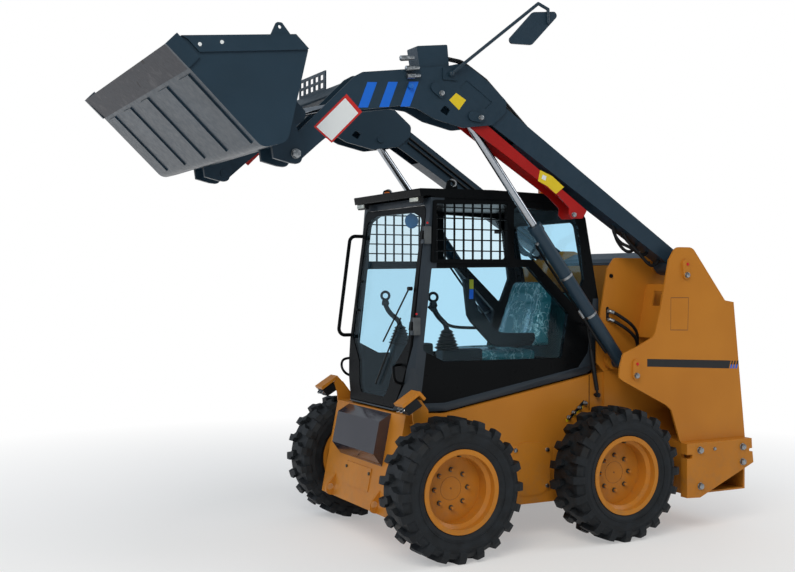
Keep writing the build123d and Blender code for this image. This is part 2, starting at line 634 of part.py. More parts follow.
# ---------------------------------------------------------------- bucket
def bucket_shell():
    """Rolled plate of floor, heel, back and top between two side plates, with its lifting eyes."""
    t = BUCKET_PLATE
    top_edge = along(TOP_REAR, TOP_FRONT, 80)
    profile = (LIP, (*HEEL, 60), (*BACK_LOW, 60), (*BACK_TOP, 20), (*TOP_REAR, 12), top_edge)
    shell = side_slab(bent_plate(profile, t), -BUCKET_HALF + t, BUCKET_HALF - t)
    side = (LIP, (*HEEL, 60), (*BACK_LOW, 60), (*BACK_TOP, 20), (*TOP_REAR, 12), TOP_FRONT)
    cheek = side_slab(side, BUCKET_HALF - t, BUCKET_HALF)
    band = side_slab(((-2051, 2579), (-1997, 2526), (-1472, 2587), BACK_TOP, TOP_REAR, TOP_FRONT),
                     BUCKET_HALF - t / 2, BUCKET_HALF + 10)
    cutter = side_slab((EDGE_TIP, (-2102, 2602), (-1996, 2503), (-2047, 2447)), BUCKET_HALF - t,
                       BUCKET_HALF + 12)
    eye = side_slab(((-1654, 2639), (-1625, 2703, 12), (-1598, 2703, 12), (-1552, 2648)), BUCKET_HALF - 6,
                    BUCKET_HALF + 6)
    eye -= cross_rod((-1608, 2682), 9, BUCKET_HALF - 50, BUCKET_HALF + 50)
    shell += both(cheek + band + cutter + eye)
    strips = [wear_strip(x) for x in WEAR_STRIP_X]
    return shell + strips


def wear_strip(x):
    """Wear plate welded under the bucket floor."""
    low = along(LIP, HEEL, 22)
    high = along(HEEL, LIP, 40)
    skin = (low, high, along(high, low, 0, 8), along(low, high, 0, -8))
    return side_slab(skin, x - WEAR_STRIP_HALF, x + WEAR_STRIP_HALF)


def bent_plate(profile, thick):
    """Side view corners of a bent plate whose outside follows the profile and its bend radii."""
    inner = []
    for index, here in enumerate(profile):
        normals = []
        for a, b in zip(profile[max(index - 1, 0):index + 1],
                        profile[max(index, 1) if index else 1:index + 2]):
            span = math.dist(a[:2], b[:2])
            normals.append(((a[1] - b[1]) / span, (b[0] - a[0]) / span))
        nx = sum(n[0] for n in normals) / len(normals)
        ny = sum(n[1] for n in normals) / len(normals)
        reach = thick / (nx * nx + ny * ny)
        radius = max(here[2] - thick, 0) if len(here) > 2 else 0
        inner.append((here[0] + nx * reach, here[1] + ny * reach, radius))
    return [*profile, *reversed(inner)]


def cutting_edge():
    """Wear edge welded across the lip, between the side cutters."""
    half = BUCKET_HALF - BUCKET_PLATE
    bevel = along(EDGE_TIP, LIP, 36)
    upper = along(LIP, EDGE_TIP, math.dist(LIP, EDGE_TIP) - 36, -EDGE_THICK)
    return side_slab((LIP, EDGE_TIP, upper, along(LIP, EDGE_TIP, 0, -EDGE_THICK)), -half, half)


def coupler_frame():
    """Quick coupler: frame behind the bucket, outer ears for the arm pins, inner ones for the tilt rods."""
    tall = math.dist(BACK_LOW, BACK_TOP)
    u = ((BACK_TOP[0] - BACK_LOW[0]) / tall, (BACK_TOP[1] - BACK_LOW[1]) / tall)

    def place(up, back, *radius):
        return (BACK_LOW[0] + u[0] * up + u[1] * back, BACK_LOW[1] + u[1] * up - u[0] * back, *radius)

    front = SEAT_GAP
    half = ARM_X + ARM_HALF + 29
    part = side_slab((place(10, front), place(90, front), place(90, 24), place(10, 24)), -half, half)
    part += side_slab((place(330, front), place(400, front, 10), place(380, 24), place(330, 24)), -half, half)
    outer = (place(-50, 24), place(-50, 110, 20), place(-42, 165, 30), place(40, 175, 30), place(150, 90, 40),
             place(300, 60, 20), place(330, 24), place(330, front), place(10, front))
    ear = (place(90, front), place(90, 24), place(178, 148, 30), place(228, 158, 30), place(262, 100, 20),
           place(330, 30), place(340, front))
    for low, high, shape in ((-99, -75, outer), (75, 99, outer), (-53, -44, ear), (44, 53, ear)):
        for side in (LEFT, RIGHT):
            part += sided(side_slab(shape, ARM_X + low, ARM_X + high), side)
    for x in (ARM_X, -ARM_X):
        part -= cross_rod(BUCKET_PIN, PIN_R + PIN_GAP, x - 130, x + 130)
    return part


# ---------------------------------------------------------------- cab
def cab_envelope(inset):
    """Outer or inner volume of the cab, ruled between its plan sections."""
    faces = []
    for z, front_in, corner_y in CAB_SECTIONS:
        xf = CAB_HALF - front_in - inset
        xs = CAB_HALF - inset
        yf = door_y(z) + inset
        yc = corner_y + inset
        points = ((xf, yf), (xs, yc), (xs, CAB_REAR - inset), (-xs, CAB_REAR - inset), (-xs, yc), (-xf, yf))
        faces.append(Plane.XY.offset(z) * outline(points))
    return loft(faces, ruled=True)


def door_y(z):
    """Y of the door's outer face, a plane that leans back as it rises."""
    return DOOR_LOW[0] + (z - DOOR_LOW[1]) * DOOR_LEAN


def door_layer(near, far):
    """Slab parallel to the door's outer face, between two depths behind it."""
    low = 700
    high = 2050
    return side_slab(((door_y(low) + near, low), (door_y(high) + near, high), (door_y(high) + far, high),
                      (door_y(low) + far, low)), -600, 600)


def door_outline(grow):
    """Front view of the door, let out or taken in all round."""
    right = [(CAB_HALF - inward + grow, z) for inward, z in DOOR_HALF]
    points = [(right[0][0], right[0][1] + grow, 40 + grow), *right[1:-1], (right[-1][0], right[-1][1] - grow)]
    mirrored = [(-point[0], *point[1:]) for point in reversed(points)]
    return [*points, *mirrored]


CAB_SIDE = ((-760, 768), (-442, 767), (515, 938), (592, 994, 20), (600, 1383, 60), (505, 1861, 40),
            (440, 1950),
            (-760, 1950))
CAB_ROOM = ((-760, 800), (-442, 799), (500, 970), (562, 1004), (570, 1383, 40), (475, 1861, 30), (425, 1925),
            (-760, 1925))
# openings in each side of the cab: y, z, radius
GUARD_OPENING = ((-520, 1912, 20), (-45, 1925, 20), (-45, 1612, 20), (-548, 1607, 20))
SIDE_OPENING = ((-539, 1559, 10), (-592, 1107, 10), (-459, 1040, 10), (336, 1036, 20), (383, 1294, 20),
                (99, 1569, 10))
QUARTER_OPENING = ((0, 1912, 20), (400, 1895, 30), (455, 1800, 20), (498, 1500, 20), (430, 1340, 20),
                   (130, 1612, 20), (0, 1612, 20))
REAR_OPENING = ((-330, 1840, 40), (330, 1840, 40), (330, 1420, 40), (-330, 1420, 40))


def cab_shell():
    """Hollow roll-over structure with its window and door openings."""
    shell = cab_envelope(0) & side_slab(CAB_SIDE, -500, 500)
    shell -= cab_envelope(CAB_WALL) & side_slab(CAB_ROOM, -500, 500)
    for opening in (GUARD_OPENING, SIDE_OPENING, QUARTER_OPENING):
        shell -= side_slab(opening, -600, 600)
    shell -= front_slab(REAR_OPENING, 400, 700)
    shell -= front_slab(door_outline(DOOR_GAP), -760, -400) & door_layer(-60, DOOR_THICK + DOOR_GAP)
    return shell - front_slab(door_outline(-32), -760, -400)


def cab_panels():
    """The cab's panels by name: front frame with the door's hinge pins, sides on pads, floor and rear."""
    shell = cab_shell()
    front_part = door_layer(-80, CAB_FRONT_DEPTH)
    front = shell & front_part
    for z in DOOR_HINGE_Z:
        front -= door_hinge_plane(z) * Cylinder(21, 54)
        front += door_hinge_plane(z) * door_hinge_block()
    rest = shell - front_part
    inner = CAB_HALF - CAB_WALL
    side = rest & box(inner, CAB_HALF + 10, -800, 700, 700, 2100)
    for y in (-400, 340):
        near, far = sill_z(y), sill_z(y + 80)
        pad = ((y, near + SEAT_GAP), (y + 80, far + SEAT_GAP), (y + 80, far + 25), (y, near + 25))
        side += side_slab(pad, inner + 2, CAB_HALF - 5)
    floor_part = box(-inner, inner, -800, CAB_ROOM[2][0], 700, CAB_ROOM[3][1])
    rear = (rest & box(-inner, inner, -800, 700, 700, 2100)) - floor_part
    return {"cab_front": front, "cab_sides": pair(side), "cab_floor": rest & floor_part, "cab_rear": rear}


def grab_bar():
    """Bent tube bar on the front post beside the door's free edge."""
    low, high = GRAB_BAR_Z
    x = GRAB_BAR_X
    route = FilletPolyline((x, -618, low), (x, door_y(low) - GRAB_BAR_PROUD, low),
                           (x, door_y(high) - GRAB_BAR_PROUD, high), (x, -553, high), radius=40)
    bar = sweep(Plane(origin=route @ 0, z_dir=route % 0) * Circle(GRAB_BAR_R), route)
    return bar - cab_envelope(-SEAT_GAP)


def cab_strut():
    """Gas strut that holds the tilted cab, on a pin in the cab's side and one in the chain case."""
    span = math.dist(STRUT_TOP, STRUT_LOW)
    strut = line_rod(STRUT_TOP, STRUT_LOW, 0, span, 7, STRUT_X)
    strut += line_rod(STRUT_TOP, STRUT_LOW, 150, span - 30, 13, STRUT_X)
    for point, wall in ((STRUT_TOP, CAB_HALF), (STRUT_LOW, TUB_HALF)):
        strut += cross_rod(point, 14, STRUT_X - 12, STRUT_X + 12) + cross_rod(point, 8, wall, STRUT_X + 16)
    return pair(strut)


def sill_z(y):
    """Height of the chain case's top under the cab."""
    low, high = SILL[1], SILL[2]
    return low[1] + (y - low[0]) * (high[1] - low[1]) / (high[0] - low[0])


def door_hinge_plane(z):
    """Plane on the door's hinge line, square to it."""
    origin = (DOOR_HINGE_X, door_y(z) + DOOR_HINGE_OUT, z)
    return Plane(origin=origin, x_dir=(1, 0, 0), z_dir=(0, DOOR_LEAN, 1))


def door_hinge_block():
    """Two blocks on the left front post with the pin between them."""
    return Pos(5, 10, -37) * Box(30, 40, 22) + Pos(5, 10, 37) * Box(30, 40, 22) + Cylinder(8, 90)


def glass_outline():
    """Front view of the door's pane, with its corner radii."""
    right = [(CAB_HALF - inward, z, radius) for inward, z, radius in GLASS_HALF]
    return [*right, *((-x, z, radius) for x, z, radius in reversed(right))]


def cab_door():
    """Glazed front door: frame, hinge knuckles and handle."""
    part = front_slab(door_outline(0), -760, -400) & door_layer(0, DOOR_THICK)
    part -= front_slab(glass_outline(), -760, -400)
    for z in DOOR_HINGE_Z:
        knuckle = Cylinder(14, 46) + Pos(-22, 4, 0) * Box(44, 14, 46)
        part += door_hinge_plane(z) * (knuckle - Cylinder(8 + PIN_GAP, 60))
    return part


def door_glass():
    glass = offset(outline(glass_outline()), -SEAT_GAP)
    pane = extrude(Plane.XZ.offset(800) * glass, -400)
    return pane & door_layer(GLASS_SET, GLASS_SET + GLASS_THICK)


def cab_roof():
    """Pressed roof with the lamp visor that overhangs the door."""
    top = ((-618, 1997, 6), (-145, 2004), (304, 1994), (462, 1962, 8), (462, 1950 + SEAT_GAP),
           (-520, 1950 + SEAT_GAP), (-560, 1962), (-610, 1952, 6))
    part = side_slab(top, -CAB_HALF - 4, CAB_HALF + 4)
    eyes = side_slab(((-440, 1990), (-425, 2052, 16), (-375, 2052, 16), (-360, 1990)), CAB_HALF - 30,
                     CAB_HALF - 18)
    eyes -= cross_rod((-400, 2030), 11, CAB_HALF - 60, CAB_HALF)
    return part + both(eyes)


def cab_windows():
    """Side, quarter and rear panes, each set in its opening."""
    panes = []
    for opening in (SIDE_OPENING, QUARTER_OPENING):
        pane = extrude(Plane.YZ.offset(CAB_HALF - 14) * offset(outline(opening), -SEAT_GAP), GLASS_THICK)
        panes += [pane, mirror(pane, Plane.YZ)]
    rear = offset(outline(REAR_OPENING), -SEAT_GAP)
    slab = side_slab(((604, 1300), (486, 1900), (480, 1900), (598, 1300)), -400, 400)
    panes.append(extrude(Plane.XZ.offset(-400) * rear, -300) & slab)
    return Compound(children=panes)


def window_guards():
    """Wire guard outside the front upper opening of each side."""
    low, high = CAB_HALF + SEAT_GAP, CAB_HALF + 12
    frame = side_slab(((-532, 1935, 14), (-32, 1947, 14), (-32, 1592, 14), (-548, 1588, 14)), low, high)
    holes = side_slab(((-514, 1916), (-52, 1927), (-52, 1612), (-528, 1608)), low - 1, high + 1)
    cells = Part()
    for row in range(GUARD_ROWS):
        for column in range(GUARD_COLUMNS):
            y = -575 + column * GUARD_PITCH
            z = 1600 + row * GUARD_PITCH
            cells += box(low - 1, high + 1, y, y + GUARD_PITCH - GUARD_WIRE, z, z + GUARD_PITCH - GUARD_WIRE)
    guard = frame - (holes & cells)
    return pair(guard)


def work_lights():
    """Twin-reflector lamps in the hoods on the front posts, and the two lamps under the visor."""
    low = side_slab(((-796, 815), (-716, 862), (-680, 822), (-760, 775)), LAMP_POST_OUT, LAMP_POST_OUT + 80)
    high = side_slab(((-607, 1952.3), (-580, 1957.7), (-580, 1921), (-602, 1921)), CAB_HALF - 133,
                     CAB_HALF - 23)
    return Compound(children=[pair(low), pair(high)])


def seat_base():
    """Box under the seat, on the cab's sloping floor."""
    return side_slab(((-60, 868.7), (330, 939.5), (330, 985), (-60, 985)), -200, 200)


def seat_cushion():
    return side_slab(((-120, 985.3, 20), (-120, 1085, 40), (300, 1085, 8), (300, 985.3, 20)), -228, 228)


def seat_backrest():
    return side_slab(((254, 1085.3), (380, 1500, 40), (470, 1480, 40), (392, 1085.3)), -235, 235)


def operator_controls():
    """Two joysticks with bellows boots, and the lap bar."""
    stick = Pos(0, 0, 60) * Cone(38, 18, 120) + Pos(0, 0, 160) * Cylinder(8, 90)
    stick += Pos(0, 0, 235) * Cylinder(19, 80)
    sticks = [Pos(x, -190, 1040) * stick for x in (-290, 290)]
    pods = [box(x - 56, x + 56, -260, 240, 980, 1040) for x in (-290, 290)]
    side = ((-100, 861.6), (200, 916), (200, 985), (-100, 985))
    legs = [side_slab(side, x - 40, x + 40) for x in (-290, 290)]
    return Compound(children=[stick + pod + leg for stick, pod, leg in zip(sticks, pods, legs)])


def beacon():
    """Domed flasher on its base."""
    stand = Pos(200, 370, 1970) * Cylinder(50, 44, align=(Align.CENTER, Align.CENTER, Align.MIN))
    dome = Pos(200, 370, 2014) * Cylinder(42, 70, align=(Align.CENTER, Align.CENTER, Align.MIN))
    return stand - cab_roof() + fillet(dome.edges().group_by(Axis.Z)[-1], 20)


def rear_door():
    """Rear door between the towers, with its louvres and the knuckles of its side hinge."""
    half = TUB_HALF - 6
    face = TUB_REAR + 6
    part = front_slab(((-half, 240, 20), (half, 240, 20), (half, BAY_TOP - 2, 20), (-half, BAY_TOP - 2, 20)),
                      face, face + DOOR_THICK)
    part -= box(-half + 12, half - 12, face - 1, face + DOOR_THICK - 6, 252, BAY_TOP - 14)
    for x in (-190, 190):
        for row in range(LOUVRES):
            part -= box(x - 150, x + 150, face, face + DOOR_THICK + 1, 560 + row * 36, 574 + row * 36)
    for z in REAR_HINGE_Z:
        knuckle = Pos(*REAR_HINGE, z) * Cylinder(14, 60) + box(REAR_HINGE[0], -half + 30, REAR_HINGE[1] - 10,
                                                               REAR_HINGE[1] + 2, z - 30, z + 30)
        part += knuckle
        part -= Pos(*REAR_HINGE, z) * Cylinder(8 + PIN_GAP, 100)
    return part


def wheel_pieces():
    made = {}
    shapes = {"tyre": tyre(), "rim": rim()}
    for name, side, y in WHEELS:
        # the right-hand rims stand half a stud's pitch round from the left
        turn = {"tyre": 0, "rim": 0 if side == LEFT else 180 / STUD_COUNT}
        for kind, shape in shapes.items():
            placed = Pos(WHEEL_X, y, TYRE_R) * Rot(turn[kind], 0, 0) * shape
            made[f"{kind}_{name}"] = sided(placed, side)
    return made


def all_pieces():
    made = wheel_pieces()
    made["axle_housings"] = axle_housings()
    made["chassis_frame"] = chassis_frame()
    made["chain_cases"] = chain_cases()
    made["hood_bulkhead"] = hood_bulkhead()
    made["lamp_posts"] = lamp_posts()
    made["tie_down_rings"] = tie_down_rings()
    made["front_step"] = front_step()
    made["bolted_covers"] = bolted_covers()
    made["bumper_plates"] = bumper_plates()
    made["pivot_pins"] = pivot_pins()
    made["engine_block"] = engine_block()
    made["rear_hood"] = rear_hood()
    made["rear_door"] = rear_door()
    for name, side in (("left", LEFT), ("right", RIGHT)):
        made[f"tower_{name}"] = tower(side)
        made[f"lift_arm_{name}"] = lift_arm(side)
        made[f"lift_barrel_{name}"] = lift_barrel(side)
        made[f"lift_rod_{name}"] = lift_rod(side)
        made[f"tilt_barrel_{name}"] = tilt_barrel(side)
        made[f"tilt_rod_{name}"] = tilt_rod(side)
    made["arm_crossmember"] = arm_crossmember()
    made["coupler_guard"] = coupler_guard()
    made["arm_pins"] = arm_pins()
    made["boom_hoses"] = boom_hoses()
    made["mirror_left"] = mirror_left()
    made["safety_brace"] = safety_brace()
    made["bucket_shell"] = bucket_shell()
    made["cutting_edge"] = cutting_edge()
    made["coupler_frame"] = coupler_frame()
    made.update(cab_panels())
    made["grab_bar"] = grab_bar()
    made["cab_strut"] = cab_strut()
    made["cab_roof"] = cab_roof()
    made["work_lights"] = work_lights()
    made["seat_base"] = seat_base()
    made["seat_cushion"] = seat_cushion()
    made["seat_backrest"] = seat_backrest()
    made["cab_door"] = cab_door()
    made["door_glass"] = door_glass()
    made["cab_windows"] = cab_windows()
    made["window_guards"] = window_guards()
    made["operator_controls"] = operator_controls()
    made["beacon"] = beacon()
    return made


os.makedirs("parts", exist_ok=True)
for node, shape in all_pieces().items():
    export_step(Pos(0, MID_WHEELBASE_Y, 0) * shape, f"parts/{node}.step")
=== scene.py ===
"""A compact wheeled skid steer loader with raised lift arms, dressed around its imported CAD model.

Places are in millimetres: x to the machine's left, y to its rear from mid-wheelbase, and z up.
"""

import json
import math

import bpy
from mathutils import Matrix, Vector


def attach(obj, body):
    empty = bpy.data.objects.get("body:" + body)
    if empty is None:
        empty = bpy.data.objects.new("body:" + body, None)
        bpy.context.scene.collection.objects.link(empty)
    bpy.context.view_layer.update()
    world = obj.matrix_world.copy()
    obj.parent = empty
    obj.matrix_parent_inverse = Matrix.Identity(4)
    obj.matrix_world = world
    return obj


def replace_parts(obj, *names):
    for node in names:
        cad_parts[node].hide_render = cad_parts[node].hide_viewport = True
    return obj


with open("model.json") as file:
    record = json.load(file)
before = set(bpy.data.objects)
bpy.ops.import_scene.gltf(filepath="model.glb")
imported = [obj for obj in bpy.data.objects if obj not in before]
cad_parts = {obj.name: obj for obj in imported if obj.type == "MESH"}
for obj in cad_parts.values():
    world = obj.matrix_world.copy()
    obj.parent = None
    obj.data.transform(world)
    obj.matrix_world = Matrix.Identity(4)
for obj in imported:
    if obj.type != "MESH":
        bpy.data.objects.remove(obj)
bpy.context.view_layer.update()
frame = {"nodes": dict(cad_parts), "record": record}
NODES = frame["nodes"]

MM = 0.001
AXLES_MIDDLE = 0.312  # how far mid-wheelbase lies behind the frame's origin, in metres
LEFT, RIGHT = 1, -1
BOTH = (LEFT, RIGHT)
SIDE_NAME = {LEFT: "left", RIGHT: "right"}

# planes of the left side; the right side's are their mirror images
TYRE_X = 655.5  # middle of a tyre
DISC_X = 647  # outer face of a wheel's disc
TUB_X = 450  # outer face of the tub's side
CAB_X = 423  # outer face of the cab's side
TOWER_X = 700  # outer face of a tower
TOWER_INSIDE_X = 462  # inner face of a tower
ARM_MIDDLE_X = 560  # middle of an arm
ARM_X = 630  # outer face of an arm
BRACE_X = 613  # outer face of the safety brace
BUCKET_X = 885.5  # outer face of the bucket's side

AXLE_Y, AXLE_Z = 544.5, 381
STUD_CIRCLE_RADIUS = 101.6
STUDS = 8
FILM = 0.5  # thickness at which a stripe or label is drawn, so that it stands clear of its plate
BASE_PIN_Y, BASE_PIN_Z = 658, 1011  # pin under a lift cylinder's barrel
LIFT_LINE = (0, -0.6149, 0.7886)  # along a lift cylinder as parked, from its base pin up
DOOR_FOOT_Y, DOOR_FOOT_Z = -705, 771  # foot of the cab door's outer plane
DOOR_LEAN = 0.1334  # how far the door leans back for each millimetre of height


def at(x, y, z):
    """A point given in millimetres, with y from mid-wheelbase, as metres in the model's frame."""
    return Vector((x * MM, y * MM + AXLES_MIDDLE, z * MM))


# ------------------------------------------------------------------ finishes
# sockets by number: a Map Range node gives AT_LOW where its value is LOW, and AT_HIGH where it is HIGH
VALUE, LOW, HIGH, AT_LOW, AT_HIGH = range(5)
# a Mix node's, for vectors or colours
FACTOR, VECTOR_A, VECTOR_B, COLOUR_A, COLOUR_B = 0, 4, 5, 6, 7
MIXED_VECTOR, MIXED_COLOUR = 1, 2


def linear(hex_colour):
    """sRGB hex to linear RGBA."""
    channels = [int(hex_colour[i:i + 2], 16) / 255 for i in (1, 3, 5)]
    return (*[c / 12.92 if c <= 0.04045 else ((c + 0.055) / 1.055) ** 2.4 for c in channels], 1.0)


def node(tree, kind, inputs=None, stops=(), output=0, **settings):
    """Adds a shader node, sets it, fills its sockets with values or links, and gives back one output.

    Stops are a ramp's (position, hex colour).
    """
    made = tree.nodes.new("ShaderNode" + kind)
    for key, value in settings.items():
        setattr(made, key, value)
    for socket, value in (inputs or {}).items():
        if isinstance(value, bpy.types.NodeSocket):
            tree.links.new(value, made.inputs[socket])
        else:
            made.inputs[socket].default_value = value
    for index, (position, colour) in enumerate(stops):
        if index == len(made.color_ramp.elements):
            made.color_ramp.elements.new(1.0)
        made.color_ramp.elements[index].position = position
        made.color_ramp.elements[index].color = linear(colour)
    return made.outputs[output] if made.outputs else made


def new_material(name):
    """An empty node material, its tree, and the object coordinates that its patterns read."""
    material = bpy.data.materials.new(name)
    material.use_nodes = True
    material.node_tree.nodes.clear()
    place = node(material.node_tree, "TexCoord", output="Object")
    return material, material.node_tree, place


def per_mm(size):
    """Scale of a pattern whose marks are about that many millimetres across."""
    return 1 / (size * MM)


def dusted(tree, place, base, dust_top):
    """A paint's colour with speckled soil dust on it, which thins out up to dust_top, in metres."""
    height = node(tree, "SeparateXYZ", {"Vector": place}, output="Z")
    low = node(tree, "MapRange", {VALUE: height, LOW: 0.05, HIGH: dust_top, AT_LOW: 1.0, AT_HIGH: 0.0})
    grit = node(tree, "TexNoise", {"Vector": place, "Scale": per_mm(60), "Detail": 5.0, "Roughness": 0.7})
    speckle = node(tree, "MapRange", {VALUE: grit, LOW: 0.45, HIGH: 0.75, AT_LOW: 0.0, AT_HIGH: 0.45})
    dust = node(tree, "Math", {0: low, 1: speckle}, operation="MULTIPLY")
    return node(tree, "Mix", {FACTOR: dust, COLOUR_A: base, COLOUR_B: linear("#7a6a50")},
                data_type="RGBA", output=MIXED_COLOUR)


def machine_paint(name, colour, shade, roughness, gloss=0.25, dust_top=0.0):
    """Sprayed two-pack enamel: a smooth sheen with faint orange peel, and a slow drift of its colour."""
    material, tree, place = new_material(name)
    drift = node(tree, "TexNoise", {"Vector": place, "Scale": per_mm(420), "Detail": 2.0})
    base = node(tree, "ValToRGB", {"Fac": drift}, ((0.35, colour), (0.75, shade)))
    if dust_top:
        base = dusted(tree, place, base, dust_top)
    # orange peel is 1 to 3 mm across, drawn coarser so that it shows
    peel = node(tree, "TexNoise", {"Vector": place, "Scale": per_mm(5), "Detail": 2.0})
    relief = node(tree, "Bump", {"Height": peel, "Distance": 0.12 * MM, "Strength": 0.35})
    scuff = node(tree, "TexNoise", {
        "Vector": place, "Scale": per_mm(35), "Detail": 6.0, "Roughness": 0.7})
    rough = node(tree, "MapRange", {
        VALUE: scuff, LOW: 0.3, HIGH: 0.75, AT_LOW: roughness - 0.06, AT_HIGH: roughness + 0.12})
    shader = node(tree, "BsdfPrincipled", {
        "Base Color": base, "Roughness": rough, "Normal": relief, "Specular IOR Level": gloss,
        "Coat Weight": gloss / 4, "Coat Roughness": 0.12})
    node(tree, "OutputMaterial", {"Surface": shader})
    return material


def worn_steel(name, bright, dark, rust, roughness):
    """Plate steel scraped bare by soil: long scratches, mill scale and a little rust."""
    material, tree, place = new_material(name)
    # scratches are hair-fine, drawn about 3 mm wide so that they show, and long down the plate
    drawn = node(tree, "Mapping", {"Vector": place, "Scale": (1.0, 0.12, 0.12)})
    scratch = node(tree, "TexNoise", {
        "Vector": drawn, "Scale": per_mm(3), "Detail": 4.0, "Roughness": 0.7})
    patches = node(tree, "TexNoise", {
        "Vector": place, "Scale": per_mm(90), "Detail": 5.0, "Roughness": 0.65})
    metal = node(tree, "ValToRGB", {"Fac": scratch}, ((0.35, dark), (0.7, bright)))
    scale = node(tree, "ValToRGB", {"Fac": patches},
                 ((0.45, dark), (0.62, bright), (0.8, rust)))
    base = node(tree, "Mix", {FACTOR: 0.5, COLOUR_A: metal, COLOUR_B: scale},
                data_type="RGBA", output=MIXED_COLOUR)
    rough = node(tree, "MapRange", {
        VALUE: patches, LOW: 0.3, HIGH: 0.7, AT_LOW: roughness - 0.1, AT_HIGH: roughness + 0.2})
    relief = node(tree, "Bump", {"Height": scratch, "Distance": 0.3 * MM, "Strength": 0.5})
    shader = node(tree, "BsdfPrincipled", {
        "Base Color": base, "Metallic": 0.85, "Roughness": rough, "Normal": relief})
    node(tree, "OutputMaterial", {"Surface": shader})
    return material


def plated(name, dark, bright, smooth, rough, mark_mm):
    """Plated metal: hard chrome is near mirror, zinc is duller with a soft mottle."""
    material, tree, place = new_material(name)
    mottle = node(tree, "TexNoise", {"Vector": place, "Scale": per_mm(mark_mm), "Detail": 3.0})
    base = node(tree, "ValToRGB", {"Fac": mottle}, ((0.3, dark), (0.7, bright)))
    spread = node(tree, "MapRange", {VALUE: mottle, LOW: 0.3, HIGH: 0.7, AT_LOW: smooth, AT_HIGH: rough})
    shader = node(tree, "BsdfPrincipled", {"Base Color": base, "Metallic": 1.0, "Roughness": spread})
    node(tree, "OutputMaterial", {"Surface": shader})
    return material


def moulded(name, colour, shade, roughness, cloud_mm, grain_mm, grain_depth):
    """Moulded rubber or plastic: a fine grain, and a bloom that clouds its colour and its sheen."""
    material, tree, place = new_material(name)
    cloud = node(tree, "TexNoise", {
        "Vector": place, "Scale": per_mm(cloud_mm), "Detail": 5.0, "Roughness": 0.62})
    grain = node(tree, "TexNoise", {"Vector": place, "Scale": per_mm(grain_mm), "Detail": 3.0})
    base = node(tree, "ValToRGB", {"Fac": cloud}, ((0.32, colour), (0.72, shade)))
    rough = node(tree, "MapRange", {
        VALUE: cloud, LOW: 0.3, HIGH: 0.7, AT_LOW: roughness - 0.1, AT_HIGH: roughness + 0.12})
    # the real grain is well under a millimetre across, drawn coarser so that it shows
    relief = node(tree, "Bump", {"Height": grain, "Distance": grain_depth * MM, "Strength": 0.5})
    shader = node(tree, "BsdfPrincipled", {
        "Base Color": base, "Roughness": rough, "Normal": relief, "Specular IOR Level": 0.25})
    node(tree, "OutputMaterial", {"Surface": shader})
    return material


def safety_glass():
    """Toughened glass: a pale blue body, and a clear face that reflects more at a slant."""
    material, tree, place = new_material("toughened_tinted_glass")
    film = node(tree, "TexNoise", {"Vector": place, "Scale": per_mm(160), "Detail": 4.0})
    rough = node(tree, "MapRange", {VALUE: film, LOW: 0.4, HIGH: 0.8, AT_LOW: 0.0, AT_HIGH: 0.04})
    body = node(tree, "BsdfTransparent", {"Color": linear("#e9f7fd")})
    face = node(tree, "BsdfPrincipled", {
        "Base Color": linear("#dfe9ee"), "Metallic": 1.0, "Roughness": rough})
    slant = node(tree, "LayerWeight", {"Blend": 0.5}, output="Facing")
    share = node(tree, "MapRange", {VALUE: slant, LOW: 0.2, HIGH: 1.0, AT_LOW: 0.01, AT_HIGH: 0.14})
    both = node(tree, "MixShader", {0: share, 1: body, 2: face})
    node(tree, "OutputMaterial", {"Surface": both})
    return material


def printed_film(name, colour, roughness=0.4):
    """Vinyl film or printed colour: flat, with a soft uneven sheen."""
    material, tree, place = new_material(name)
    soft = node(tree, "TexNoise", {"Vector": place, "Scale": per_mm(30), "Detail": 2.0})
    rough = node(tree, "MapRange", {
        VALUE: soft, LOW: 0.3, HIGH: 0.7, AT_LOW: roughness - 0.06, AT_HIGH: roughness + 0.08})
    shader = node(tree, "BsdfPrincipled", {
        "Base Color": linear(colour), "Roughness": rough, "Specular IOR Level": 0.4})
    node(tree, "OutputMaterial", {"Surface": shader})
    return material


def wrapped_vinyl():
    """Dark vinyl still in its clear plastic wrap: sharp crinkles, with pale painted highlights along them
    for the glints that they catch.
    """
    material, tree, place = new_material("vinyl_in_clear_wrap")
    bent = node(tree, "TexNoise", {
        "Vector": place, "Scale": per_mm(90), "Detail": 3.0, "Distortion": 1.5}, output="Color")
    warped = node(tree, "Mix", {FACTOR: 0.12, VECTOR_A: place, VECTOR_B: bent},
                  data_type="VECTOR", output=MIXED_VECTOR)
    pulled = node(tree, "Mapping", {"Vector": warped, "Scale": (1.0, 1.0, 0.35)})
    folds = node(tree, "TexVoronoi", {"Vector": pulled, "Scale": per_mm(60)}, feature="DISTANCE_TO_EDGE")
    crease_and_glint = node(tree, "MapRange", {VALUE: folds, LOW: 0.0, HIGH: 0.1, AT_LOW: 1.0, AT_HIGH: 0.0})
    # the ramp's pale end lies on the creases: a painted highlight for the glints that the folds of the wrap
    # catch
    base = node(tree, "ValToRGB", {"Fac": crease_and_glint},
                ((0.0, "#397a7f"), (0.55, "#4a8b90"), (1.0, "#bfdedd")))
    relief = node(tree, "Bump", {"Height": crease_and_glint, "Distance": 5 * MM, "Strength": 0.8})
    shader = node(tree, "BsdfPrincipled", {
        "Base Color": base, "Roughness": 0.22, "Normal": relief,
        "Coat Weight": 0.8, "Coat Roughness": 0.06})
    node(tree, "OutputMaterial", {"Surface": shader})
    return material


